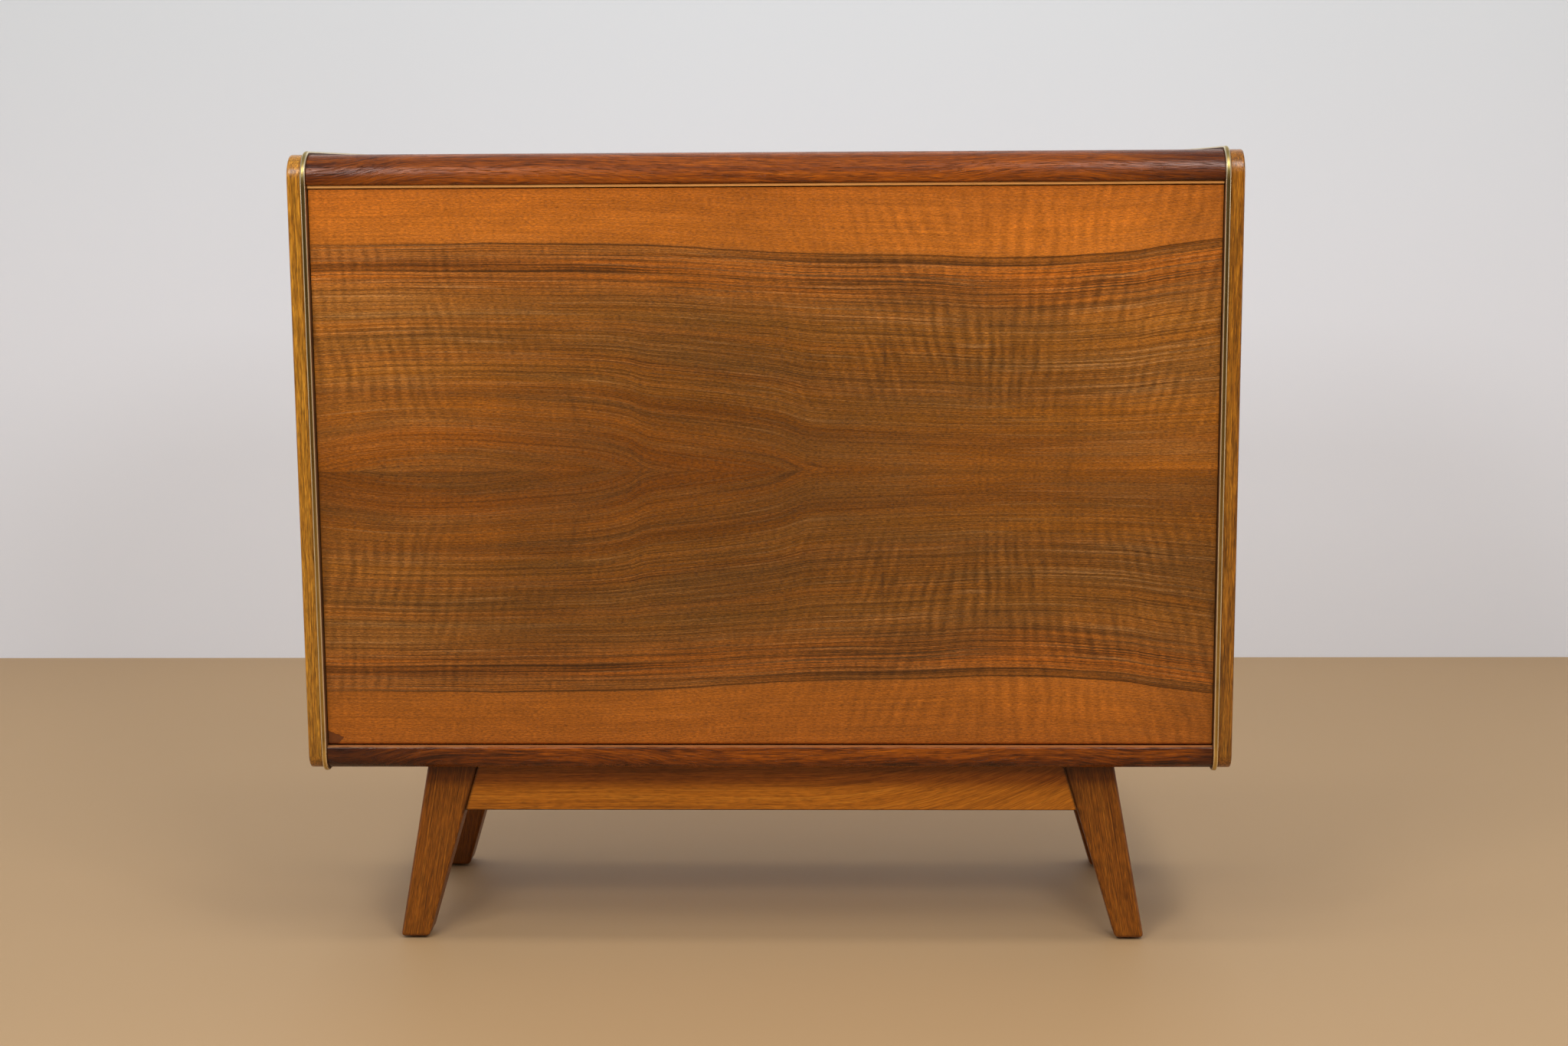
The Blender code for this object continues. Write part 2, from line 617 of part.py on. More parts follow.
def make_stay(side, wall):
    """One stay: a bracket and arm on the flap, and the guide that swivels on the inner side."""
    name = side_name(side)
    pivot = Vector((0.0, STAY_PIVOT_BACK, STAY_HEIGHT))
    arm_axis = bpy.data.objects.new("stay_arm_axis_" + name, None)
    arm_axis.parent = FLAP_AXIS
    arm_axis.matrix_basis = (
        Matrix.Translation(pivot) @ Matrix.Rotation(-STAY_ARM_DIP, 4, "X")
    )
    PARTS.objects.link(arm_axis)

    half = STAY_ARM_HEIGHT / 2
    neck = math.sqrt(STAY_STOP_RADIUS**2 - half**2)
    neck_angle = math.pi - math.asin(half / STAY_STOP_RADIUS)
    stop = Vector((STAY_ARM_LENGTH, 0.0))
    outline = arc(Vector((0.0, 0.0)), half, math.pi / 2, 3 * math.pi / 2, ARC_STEPS)
    outline += [Vector((STAY_ARM_LENGTH - neck, -half))]
    outline += arc(stop, STAY_STOP_RADIUS, -neck_angle, neck_angle, ARC_STEPS)[1:-1]
    outline += [Vector((STAY_ARM_LENGTH - neck, half))]
    middle = side * (STAY_ARM_INNER + STAY_ARM_THICKNESS / 2)
    arm = plate(
        "stay_arm_" + name, outline, STAY_ARM_THICKNESS, (middle, 0.0, 0.0), SIDE_VIEW, BRASS,
        parent=arm_axis,
    )
    rivet_bore = STAY_RIVET_RADIUS + SHAFT_GAP
    through = STAY_ARM_THICKNESS + 2 * OVERRUN
    drill(
        arm, "rivet_hole_" + name, rivet_bore,
        Matrix.Translation((side * STAY_ARM_INNER, 0.0, 0.0)) @ facing(side), through, arm_axis,
    )
    make_stay_bracket(side, pivot)
    make_stay_guide(side, wall)


def make_stay_bracket(side, pivot):
    """The flap's bracket: a foot on the panel, an upright ear and its headed rivet."""
    name = side_name(side)
    ear_outer = STAY_ARM_INNER - RUNNING_GAP
    ear_inner = ear_outer - STAY_EAR_THICKNESS
    foot_front = PANEL_BACK + SEAT_GAP
    low, high = mirrored(ear_outer - STAY_FOOT_WIDTH, ear_outer, side)
    foot = block(
        "stay_bracket_" + name, (low, foot_front, STAY_HEIGHT - STAY_FOOT_LENGTH / 2),
        (high, foot_front + STAY_FOOT_THICKNESS, STAY_HEIGHT + STAY_FOOT_LENGTH / 2), BRASS,
        parent=FLAP_AXIS,
    )
    centre = Vector((pivot.y, pivot.z))
    base = foot_front + STAY_FOOT_THICKNESS / 2
    outline = arc(centre, STAY_EAR_RADIUS, -math.pi / 2, math.pi / 2)
    outline += [
        Vector((base, STAY_HEIGHT + STAY_EAR_RADIUS)),
        Vector((base, STAY_HEIGHT - STAY_EAR_RADIUS)),
    ]
    ear = plate(
        "stay_ear_" + name, outline, STAY_EAR_THICKNESS,
        (side * (ear_outer + ear_inner) / 2, 0.0, 0.0), SIDE_VIEW, BRASS, parent=FLAP_AXIS,
    )
    head_base = STAY_ARM_OUTER + RUNNING_GAP - ear_inner
    profile = [
        (0.0, head_base + STAY_RIVET_HEAD_HEIGHT),
        (STAY_RIVET_HEAD_RADIUS / 2, head_base + STAY_RIVET_HEAD_HEIGHT),
        (STAY_RIVET_HEAD_RADIUS, head_base + STAY_RIVET_HEAD_HEIGHT / 2),
        (STAY_RIVET_HEAD_RADIUS, head_base),
        (STAY_RIVET_RADIUS, head_base),
        (STAY_RIVET_RADIUS, STAY_EAR_THICKNESS / 2),
        (0.0, STAY_EAR_THICKNESS / 2),
    ]
    rivet_place = Matrix.Translation((side * ear_inner, pivot.y, pivot.z)) @ facing(side)
    rivet = turned("stay_rivet_" + name, profile, rivet_place, BRASS, parent=FLAP_AXIS)
    combine(foot, as_cutter(ear), "UNION")
    combine(foot, as_cutter(rivet), "UNION")


def make_stay_guide(side, wall):
    """The swivelling guide on its stud, with the slot that the arm slides through."""
    name = side_name(side)
    wall_pivot = STAY_REACH * Vector((math.cos(WALL_PIVOT_ANGLE), math.sin(WALL_PIVOT_ANGLE)))
    local = Matrix.Translation((0.0, wall_pivot.x, wall_pivot.y))
    guide_axis = bpy.data.objects.new("stay_guide_axis_" + name, None)
    lean = Matrix.Rotation(FRONT_LEAN, 4, "X")
    guide_axis.matrix_basis = (
        Matrix.Translation((0.0, AXIS_Y, AXIS_Z)) @ lean @ local
        @ Matrix.Rotation(-STAY_ARM_DIP, 4, "X")
    )
    PARTS.objects.link(guide_axis)
    low, high = mirrored(GUIDE_INNER, GUIDE_OUTER, side)
    guide = block(
        "stay_guide_" + name, (low, -GUIDE_LENGTH / 2, -GUIDE_HEIGHT / 2),
        (high, GUIDE_LENGTH / 2, GUIDE_HEIGHT / 2), BRASS, BOARD_ARRIS, parent=guide_axis,
    )
    slot_low, slot_high = mirrored(
        STAY_ARM_INNER - RUNNING_GAP, STAY_ARM_OUTER + RUNNING_GAP, side
    )
    slot_half = STAY_ARM_HEIGHT / 2 + RUNNING_GAP
    slot = block(
        "guide_slot_" + name, (slot_low, -GUIDE_LENGTH / 2 - OVERRUN, -slot_half),
        (slot_high, GUIDE_LENGTH / 2 + OVERRUN, slot_half), WOOD_CUT, parent=guide_axis,
    )
    combine(guide, as_cutter(slot))
    drill(
        guide, "stud_hole_guide_" + name, STUD_RADIUS + SHAFT_GAP,
        Matrix.Translation((side * GUIDE_OUTER, 0.0, 0.0)) @ facing(-side),
        STUD_IN_GUIDE + RUNNING_GAP, guide_axis,
    )
    length = STUD_IN_GUIDE + GUIDE_WALL_GAP + STUD_IN_WALL - SEAT_GAP
    stud_place = guide_axis.matrix_basis @ Matrix.Translation(
        (side * (GUIDE_OUTER - STUD_IN_GUIDE), 0.0, 0.0)
    ) @ facing(side)
    turned(
        "stay_stud_" + name, peg_profile(STUD_RADIUS, length, SEAT_GAP), stud_place, BRASS
    )
    wall_mouth = guide_axis.matrix_basis @ Matrix.Translation(
        (side * INNER_SIDE_FACE, 0.0, 0.0)
    ) @ facing(side)
    drill(wall, "stud_hole_wall_" + name, STUD_RADIUS + SEAT_GAP, wall_mouth, STUD_IN_WALL)


def make_latch(side):
    """A touch latch square to the flap: housing and plunger on the inner side, strike on the flap."""
    name = side_name(side)
    height = FLAP_TOP - LATCH_DROP
    centre_x = side * (INNER_SIDE_FACE - SEAT_GAP - LATCH_WIDTH / 2)
    strike_front = PANEL_BACK + SEAT_GAP
    strike_back = strike_front + STRIKE_THICKNESS
    half = STRIKE_SIZE / 2
    block(
        "latch_strike_" + name, (centre_x - half, strike_front, height - half),
        (centre_x + half, strike_back, height + half), STEEL, parent=FLAP_AXIS,
    )
    plunger_axis = bpy.data.objects.new("latch_axis_" + name, None)
    plunger_axis.matrix_basis = (
        Matrix.Translation((0.0, AXIS_Y, AXIS_Z)) @ Matrix.Rotation(FRONT_LEAN, 4, "X")
        @ Matrix.Translation((centre_x, strike_back + SEAT_GAP, height))
    )
    PARTS.objects.link(plunger_axis)
    inward = ALONG_BACK
    profile = [
        (0.0, PLUNGER_LENGTH),
        (PLUNGER_RADIUS, PLUNGER_LENGTH),
        (PLUNGER_RADIUS, PLUNGER_TIP_LENGTH),
        (PLUNGER_TIP_RADIUS, PLUNGER_TIP_LENGTH),
        (PLUNGER_TIP_RADIUS, 0.0),
        (0.0, 0.0),
    ]
    turned("latch_plunger_" + name, profile, inward, STEEL, parent=plunger_axis)
    housing = block(
        "latch_housing_" + name, (-LATCH_WIDTH / 2, PLUNGER_SHOWING, -LATCH_HEIGHT / 2),
        (LATCH_WIDTH / 2, PLUNGER_SHOWING + LATCH_LENGTH, LATCH_HEIGHT / 2), BLACK_PLASTIC,
        LATCH_ARRIS, parent=plunger_axis,
    )
    bore_depth = PLUNGER_LENGTH - PLUNGER_SHOWING + LATCH_TRAVEL + RUNNING_GAP
    drill(
        housing, "latch_bore_" + name, PLUNGER_RADIUS + SHAFT_GAP,
        Matrix.Translation((0.0, PLUNGER_SHOWING, 0.0)) @ inward, bore_depth, plunger_axis,
    )


def make_shelf(name, rise, thickness, low_x, high_x, back, material, walls):
    """A shelf on four pegs, two in the board at each end. walls gives each end's board."""
    base = FLOOR + rise
    front = front_y(base, WALL_INSET) + SHELF_SETBACK
    block(
        name, (low_x + SHELF_SIDE_GAP, front, base),
        (high_x - SHELF_SIDE_GAP, back - SHELF_BACK_GAP, base + thickness), material, SHELF_ARRIS,
    )
    peg_z = base - SEAT_GAP - PEG_RADIUS
    rows = {"front": front + PEG_FROM_SHELF_END, "rear": back - PEG_FROM_SHELF_END}
    for row, peg_y in rows.items():
        for end, face, into in (("left", low_x, -1), ("right", high_x, 1)):
            label = f"{name}_peg_{row}_{end}"
            place = Matrix.Translation((face - into * PEG_SHOWING, peg_y, peg_z)) @ facing(into)
            length = PEG_SHOWING + PEG_IN_WALL - SEAT_GAP
            turned(label, peg_profile(PEG_RADIUS, length, SEAT_GAP), place, BRASS, SMALL_ROUND_STEPS)
            mouth = Matrix.Translation((face, peg_y, peg_z)) @ facing(into)
            drill(walls[end], "hole_" + label, PEG_RADIUS + SEAT_GAP, mouth, PEG_IN_WALL)


def make_interior(walls):
    """Mirror, glass shelf and wooden shelf."""
    left, right = -INNER_SIDE_FACE, INNER_SIDE_FACE
    block(
        "mirror_panel", (left + MIRROR_MARGIN, MIRROR_FRONT, FLOOR + MIRROR_MARGIN),
        (PARTITION_LEFT - MIRROR_MARGIN, BACK_PANEL_FRONT - SEAT_GAP, CEILING - MIRROR_MARGIN),
        MIRROR, BOARD_ARRIS,
    )
    make_shelf(
        "glass_shelf", GLASS_SHELF_RISE, GLASS_THICKNESS, left, PARTITION_LEFT, MIRROR_FRONT,
        GLASS, {"left": walls[-1], "right": walls[0]},
    )
    make_shelf(
        "wood_shelf", WOOD_SHELF_RISE, WOOD_SHELF_THICKNESS, PARTITION_RIGHT, right,
        BACK_PANEL_FRONT, PALE_WOOD, {"left": walls[0], "right": walls[1]},
    )


def leg_edge(outer, z):
    """X of a right-hand leg's outer or inner edge at height z."""
    top = LEG_TOP_OUTER if outer else LEG_TOP_OUTER - LEG_TOP_WIDTH
    foot = LEG_FOOT_OUTER if outer else LEG_FOOT_OUTER - LEG_FOOT_WIDTH
    return foot + (top - foot) * z / BODY_BASE


def make_legs():
    """Four splayed legs with the glides under them."""
    top = BODY_BASE - SEAT_GAP
    foot = GLIDE_HEIGHT + SEAT_GAP
    foot_middle = LEG_FOOT_OUTER - LEG_FOOT_WIDTH / 2
    for row, front in (("front", LEG_FRONT_Y), ("rear", LEG_FRONT_Y + LEG_PITCH)):
        for side in (-1, 1):
            name = f"{row}_{side_name(side)}"
            outline = [
                Vector((side * leg_edge(True, top), top)),
                Vector((side * leg_edge(True, foot), foot)),
                Vector((side * leg_edge(False, foot), foot)),
                Vector((side * leg_edge(False, top), top)),
            ]
            middle_y = front + LEG_DEPTH / 2
            leg = plate(
                "leg_" + name, outline, LEG_DEPTH, (0.0, middle_y, 0.0), FRONT_VIEW, LEG_WOOD
            )
            round_edges(leg, LEG_ARRIS, 3, lambda a, b: min(a.y, b.y) < top - LEG_ARRIS)
            glide = [
                (0.0, GLIDE_HEIGHT), (GLIDE_RADIUS, GLIDE_HEIGHT), (GLIDE_RADIUS, 0.0), (0.0, 0.0)
            ]
            place = Matrix.Translation((side * foot_middle, middle_y, 0.0))
            turned("glide_" + name, glide, place, BLACK_PLASTIC)


def make_aprons(bottom_board):
    """The rails between the legs, and the screws that hold the body on the leg frame."""
    top = BODY_BASE - SEAT_GAP
    base = top - APRON_HEIGHT
    rear_front = LEG_FRONT_Y + LEG_PITCH + LEG_DEPTH - APRON_SETBACK - APRON_THICKNESS
    for row, front in (("front", LEG_FRONT_Y + APRON_SETBACK), ("rear", rear_front)):
        outline = [
            Vector((side * (leg_edge(False, z) - SEAT_GAP), z))
            for side, z in ((-1, top), (-1, base), (1, base), (1, top))
        ]
        apron = plate(
            row + "_apron", outline, APRON_THICKNESS, (0.0, front + APRON_THICKNESS / 2, 0.0),
            FRONT_VIEW, APRON_WOOD,
        )
        round_edges(apron, APRON_ARRIS, 2, lambda a, b: (
            max(a.y, b.y) < base + APRON_ARRIS and abs(a.x - b.x) > APRON_HEIGHT
        ))
    start = LEG_FRONT_Y + LEG_DEPTH + SEAT_GAP
    end = LEG_FRONT_Y + LEG_PITCH - SEAT_GAP
    centre = LEG_TOP_OUTER - LEG_TOP_WIDTH / 2
    for side in (-1, 1):
        low, high = mirrored(centre - APRON_THICKNESS / 2, centre + APRON_THICKNESS / 2, side)
        rail = block(
            "side_apron_" + side_name(side), (low, start, base), (high, end, top), APRON_WOOD,
            APRON_ARRIS,
        )
        for row, screw_y in (
            ("front", start + SCREW_FROM_APRON_END), ("rear", end - SCREW_FROM_APRON_END)
        ):
            name = f"{row}_{side_name(side)}"
            place = Matrix.Translation((side * centre, screw_y, base))
            length = APRON_HEIGHT + SEAT_GAP + SCREW_IN_BOARD
            profile = [
                (0.0, length),
                (SCREW_RADIUS, length - SCREW_RADIUS),
                (SCREW_RADIUS, SCREW_HEAD_HEIGHT),
                (SCREW_HEAD_RADIUS, SEAT_GAP),
                (SCREW_HEAD_RADIUS, 0.0),
                (0.0, 0.0),
            ]
            turned("frame_screw_" + name, profile, place, STEEL, SMALL_ROUND_STEPS)
            gap = SEAT_GAP
            hole = [
                (0.0, length + gap),
                (SCREW_RADIUS + gap, length + gap),
                (SCREW_RADIUS + gap, SCREW_HEAD_HEIGHT + gap),
                (SCREW_HEAD_RADIUS + gap, 2 * gap),
                (SCREW_HEAD_RADIUS + gap, -OVERRUN),
                (0.0, -OVERRUN),
            ]
            cutter = as_cutter(turned("screw_hole_" + name, hole, place, WOOD_CUT, SMALL_ROUND_STEPS))
            combine(rail, cutter)
            combine(bottom_board, cutter)



for old in list(bpy.data.objects):
    bpy.data.objects.remove(old)
PARTS = new_collection("bar_cabinet")
CUTTERS = new_collection("cutters")
WALNUT = make_material("walnut_veneer", (0.30, 0.13, 0.04), 0.35)
ROSEWOOD = make_material("rosewood", (0.16, 0.045, 0.018), 0.28)
SIDE_WOOD = make_material("oak_side", (0.42, 0.20, 0.045), 0.35)
PALE_WOOD = make_material("pale_wood", (0.62, 0.36, 0.14), 0.45)
PLAIN_WOOD = make_material("plain_wood", (0.40, 0.22, 0.09), 0.6)
LEG_WOOD = make_material("leg_wood", (0.27, 0.085, 0.022), 0.4)
APRON_WOOD = make_material("apron_wood", (0.38, 0.14, 0.035), 0.4)
LAMINATE = make_material("flap_laminate", (0.70, 0.62, 0.45), 0.3)
BRASS = make_material("brass", (0.62, 0.50, 0.27), 0.28, metallic=1.0)
STEEL = make_material("steel", (0.60, 0.60, 0.60), 0.35, metallic=1.0)
BLACK_PLASTIC = make_material("black_plastic", (0.02, 0.02, 0.02), 0.5)
MIRROR = make_material("mirror", (0.85, 0.86, 0.87), 0.03, metallic=1.0)
GLASS = make_material("glass", (0.85, 0.93, 0.90), 0.03, transmission=1.0)
WOOD_CUT = make_material("cutter", (1.0, 0.2, 0.2), 0.5)

FLAP_AXIS = bpy.data.objects.new("flap_axis", None)
FLAP_AXIS.matrix_basis = (
    Matrix.Translation((0.0, AXIS_Y, AXIS_Z)) @ Matrix.Rotation(FRONT_LEAN, 4, "X")
)
PARTS.objects.link(FLAP_AXIS)

cheeks = {side: make_cheek(side) for side in (-1, 1)}
carcass_base, carcass_walls = make_carcass()
flap = make_flap()
for end_side in (-1, 1):
    make_bead(end_side)
    make_pivot(end_side, cheeks[end_side], flap)
    make_stay(end_side, carcass_walls[end_side])
    make_latch(end_side)
make_interior(carcass_walls)
make_legs()
make_aprons(carcass_base)

print("flap axis", round(AXIS_Y, 5), round(AXIS_Z, 5), "travel", round(math.degrees(FLAP_TRAVEL), 3))
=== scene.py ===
import json
import math

import bmesh
import bpy
from mathutils import Matrix, Vector

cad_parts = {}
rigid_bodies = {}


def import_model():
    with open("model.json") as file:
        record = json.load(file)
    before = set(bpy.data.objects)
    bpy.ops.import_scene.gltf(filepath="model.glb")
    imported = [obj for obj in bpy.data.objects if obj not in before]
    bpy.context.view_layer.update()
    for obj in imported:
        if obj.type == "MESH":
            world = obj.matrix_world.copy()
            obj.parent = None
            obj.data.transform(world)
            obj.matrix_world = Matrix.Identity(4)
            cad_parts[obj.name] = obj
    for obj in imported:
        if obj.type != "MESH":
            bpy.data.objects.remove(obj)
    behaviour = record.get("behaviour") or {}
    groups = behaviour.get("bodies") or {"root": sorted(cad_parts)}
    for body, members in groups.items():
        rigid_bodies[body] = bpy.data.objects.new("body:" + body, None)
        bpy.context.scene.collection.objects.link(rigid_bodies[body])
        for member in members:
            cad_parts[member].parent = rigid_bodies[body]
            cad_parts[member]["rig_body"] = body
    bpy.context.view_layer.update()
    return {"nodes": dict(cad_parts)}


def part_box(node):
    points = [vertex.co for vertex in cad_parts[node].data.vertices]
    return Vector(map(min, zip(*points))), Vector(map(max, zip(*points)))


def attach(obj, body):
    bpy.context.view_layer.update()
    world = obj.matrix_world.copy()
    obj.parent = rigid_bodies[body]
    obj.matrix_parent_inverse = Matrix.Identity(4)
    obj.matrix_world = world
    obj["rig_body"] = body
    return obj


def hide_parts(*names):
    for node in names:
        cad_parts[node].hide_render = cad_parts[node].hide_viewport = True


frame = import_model()
NODES = frame["nodes"]

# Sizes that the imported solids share, in metres
FRONT_LEAN = math.radians(2.4)
BASE_DEPTH = 0.412
TOP_CORNER_RADIUS = 0.025
BOTTOM_CORNER_RADIUS = 0.017
BEAD_PROUD = 0.0035
BEAD_STEM = 0.0070
LEG_TOP_INNER = 0.3060  # the legs' inner edge at the body's underside, from the middle
LEG_INNER_SLOPE = 0.297  # how far that edge moves outwards in each metre down
LEG_GRAIN_SLOPE = 0.17  # the same for the legs' grain

BODY_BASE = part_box("side_panel_left")[0].z
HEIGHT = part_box("side_panel_left")[1].z
BACK_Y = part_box("top_board")[1].y
FRONT_FOOT_Y = BACK_Y - BASE_DEPTH
PANEL_LOW, PANEL_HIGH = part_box("flap_panel")
PANEL_WIDTH = PANEL_HIGH.x - PANEL_LOW.x
JOINT_Z = (PANEL_LOW.z + PANEL_HIGH.z) / 2  # where the two leaves of the front's veneer meet
APRON_LOW, APRON_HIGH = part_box("front_apron")
MIRROR_LOW, MIRROR_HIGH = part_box("mirror_panel")
BOTTOM_RAIL_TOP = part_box("bottom_nosing")[1].z
BEAD_MIDDLE = (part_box("side_bead_right")[0].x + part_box("side_bead_right")[1].x) / 2

# Sizes of the finished pieces, in metres
BEAD_EDGE_RADIUS = 0.0013
BEAD_EDGE_STEPS = 5
BEAD_CROWN = 0.00015
CORNER_STEPS = 22
BOARD_ARRIS = 0.0006
TRIM_ARRIS = 0.0004
STAY_ARRIS = 0.0003
ARRIS_STEPS = 2
SHORTEST_EDGE = 4  # an edge is softened if it is longer than this many times its arris
MERGE_DISTANCE = 0.00001
SHARP = math.radians(38)  # edges with a larger angle stay sharp
FLAT = math.radians(0.5)  # faces with a smaller angle between them are joined

# The photograph's camera
PHOTO_WIDTH = 2047
FOCAL_PIXELS = 3400
SENSOR_WIDTH = 36.0
CAMERA_PLACE = (0.0908, FRONT_FOOT_Y - 2.6231, 0.7968)
CAMERA_YAW = math.radians(-1.594)
CAMERA_PITCH = math.radians(7.503)
CAMERA_ROLL = math.radians(-0.330)

NOISE_MIDDLE = 0.5
NOISE_SPAN = (0.3, 0.7)  # nearly all of a noise lies between these


def paint(red, green, blue):
    """A colour given as it shows on screen, from 0 to 255, in the shader's own scale."""
    def linear(level):
        level = level / 255
        return level / 12.92 if level <= 0.04045 else ((level + 0.055) / 1.055) ** 2.4

    return (linear(red), linear(green), linear(blue), 1.0)


def dimmed(colour, share):
    return tuple(level * share for level in colour)


def up_from(level, span):
    """The two heights that lie so far above a level."""
    return [level + rise for rise in span]


def down_from(level, span):
    """The two heights that lie so far below a level."""
    return [level - drop for drop in span]


class Field:
    """A value that varies over a surface: a node's socket that takes part in sums."""

    def __init__(self, shade, socket):
        self.shade = shade
        self.socket = socket

    def sum(self, operation, *others):
        node = self.shade.tree.nodes.new("ShaderNodeMath")
        node.operation = operation
        for place, value in enumerate((self, *others)):
            self.shade.feed(node.inputs[place], value)
        return Field(self.shade, node.outputs[0])

    def __add__(self, other):
        return self.sum("ADD", other)

    def __sub__(self, other):
        return self.sum("SUBTRACT", other)

    def __mul__(self, other):
        return self.sum("MULTIPLY", other)

    def __truediv__(self, other):
        return self.sum("DIVIDE", other)

    def abs(self):
        return self.sum("ABSOLUTE")

    def sine(self):
        return self.sum("SINE")

    def least(self, other):
        return self.sum("MINIMUM", other)

    def most(self, other):
        return self.sum("MAXIMUM", other)

    def above(self, edge):
        return self.sum("GREATER_THAN", edge)

    def rest(self):
        """What is left of 1."""
        return self * -1 + 1

    def swing(self, reach):
        """For a noise: a factor that swings to either side of 1, by half of reach at most."""
        return (self - NOISE_MIDDLE) * reach + 1

    def step(self, low, high, start=0.0, end=1.0):
        """Runs smoothly from start to end as this value goes from low to high."""
        node = self.shade.tree.nodes.new("ShaderNodeMapRange")
        node.interpolation_type = "SMOOTHSTEP"
        for place, value in enumerate((self, low, high, start, end)):
            self.shade.feed(node.inputs[place], value)
        return Field(self.shade, node.outputs[0])

    def near(self, middle, reach):
        """1 at middle, falling smoothly to 0 at reach on either side."""
        return (self - middle).abs().step(0.0, reach, 1.0, 0.0)

    def curve(self, points, low, high):
        """A smooth curve through points given as (share of the way, value), from low to high."""
        node = self.shade.tree.nodes.new("ShaderNodeFloatCurve")
        line = node.mapping.curves[0]
        while len(line.points) < len(points):
            line.points.new(0.5, 0.5)
        for knot, (share, value) in zip(line.points, points):
            knot.location = (share, (value - low) / (high - low))
        node.mapping.update()
        self.shade.feed(node.inputs["Value"], self)
        return Field(self.shade, node.outputs[0]) * (high - low) + low

    def ramp(self, stops):
        """Colours at given values, from the lowest value to the highest."""
        low, high = stops[0][0], stops[-1][0]
        node = self.shade.tree.nodes.new("ShaderNodeValToRGB")
        marks = node.color_ramp.elements
        while len(marks) < len(stops):
            marks.new(0.5)
        for mark, (value, colour) in zip(marks, stops):
            mark.position = (value - low) / (high - low)
            mark.color = paint(*colour)
        self.shade.feed(node.inputs[0], (self - low) / (high - low))
        return Field(self.shade, node.outputs[0])


class Shade:
    """One material, with helpers that add nodes to it."""

    def __init__(
        self, name, roughness=0.4, metallic=0.0, coat=0.0, coat_roughness=0.2, specular=0.5, **more
    ):
        self.material = bpy.data.materials.new(name)
        self.material.use_nodes = True
        self.tree = self.material.node_tree
        self.shader = self.tree.nodes["Principled BSDF"]
        fixed = {
            "Roughness": roughness,
            "Metallic": metallic,
            "Coat Weight": coat,
            "Coat Roughness": coat_roughness,
            "Specular IOR Level": specular,
        }
        fixed.update(more)
        for socket, value in fixed.items():
            self.shader.inputs[socket].default_value = value
        coordinates = self.tree.nodes.new("ShaderNodeTexCoord")
        parts = self.tree.nodes.new("ShaderNodeSeparateXYZ")
        self.tree.links.new(coordinates.outputs["Object"], parts.inputs[0])
        self.x, self.y, self.z = (Field(self, socket) for socket in parts.outputs)

    def feed(self, socket, value):
        """Links a varying value to a socket, or sets a fixed one there."""
        if isinstance(value, Field):
            self.tree.links.new(value.socket, socket)
        else:
            socket.default_value = value

    def noise(self, place, detail=2.0, roughness=0.5):
        """Noise from 0 to 1, with about one wave for each unit of place."""
        joined = self.tree.nodes.new("ShaderNodeCombineXYZ")
        for socket, value in zip(joined.inputs, place):
            self.feed(socket, value)
        node = self.tree.nodes.new("ShaderNodeTexNoise")
        self.tree.links.new(joined.outputs[0], node.inputs["Vector"])
        node.inputs["Scale"].default_value = 1.0
        node.inputs["Detail"].default_value = detail
        node.inputs["Roughness"].default_value = roughness
        return Field(self, node.outputs[0])

    def cloud(self, x_waves, y_waves=None, z_waves=None, **more):
        """Noise with so many waves per metre along each axis, or alike along all of them."""
        y_waves = x_waves if y_waves is None else y_waves
        z_waves = y_waves if z_waves is None else z_waves
        return self.noise((self.x * x_waves, self.y * y_waves, self.z * z_waves), **more)

    def mix(self, share, first, second):
        node = self.tree.nodes.new("ShaderNodeMix")
        node.data_type = "RGBA"
        self.feed(node.inputs[0], share)
        for place, value in ((6, first), (7, second)):
            self.feed(node.inputs[place], paint(*value) if isinstance(value, tuple) else value)
        return Field(self, node.outputs[2])

    def lit(self, colour, share):
        """A colour made brighter or darker by a varying share."""
        node = self.tree.nodes.new("ShaderNodeVectorMath")
        node.operation = "SCALE"
        self.feed(node.inputs[0], paint(*colour)[:3] if isinstance(colour, tuple) else colour)
        self.feed(node.inputs["Scale"], share)
        return Field(self, node.outputs[0])

    def done(self, colour, roughness=None, height=None, depth=0.0001):
        """Connects what varies. height from 0 to 1 stands for a relief that deep, in metres."""
        self.feed(self.shader.inputs["Base Color"], colour)
        if roughness is not None:
            self.feed(self.shader.inputs["Roughness"], roughness)
        if height is not None:
            bump = self.tree.nodes.new("ShaderNodeBump")
            bump.inputs["Distance"].default_value = depth
            self.feed(bump.inputs["Height"], height)
            self.tree.links.new(bump.outputs[0], self.shader.inputs["Normal"])
        return self.material


# Straight-grained wood: waves of noise per metre along the grain and across it
WOOD_BEND = (2.2, 6)
WOOD_RINGS_ALONG = 0.9
WOOD_LINES_ALONG = 5
WOOD_LINES_IN_RING = 9
WOOD_PORES = (75, 2300)
WOOD_RAYS = (95, 900)
WOOD_STRIPES = (8, 640)
WOOD_PATCHES = (13, 34)
WOOD_BROAD = (3, 9)
WOOD_RELIEF = 0.00012
SIDEWAYS_BEND = 0.6

# The part of a noise over which pores, flecks and their like set in, and how dark they are
PORE_SPAN = (0.56, 0.70)
FLECK_SPAN = (0.55, 0.66)
STRIPE_SPAN = (0.34, 0.66)
MOTTLE_SPAN = (0.48, 0.62)
PORE_DIMMED = 0.55
FLECK_DIMMED = 0.45


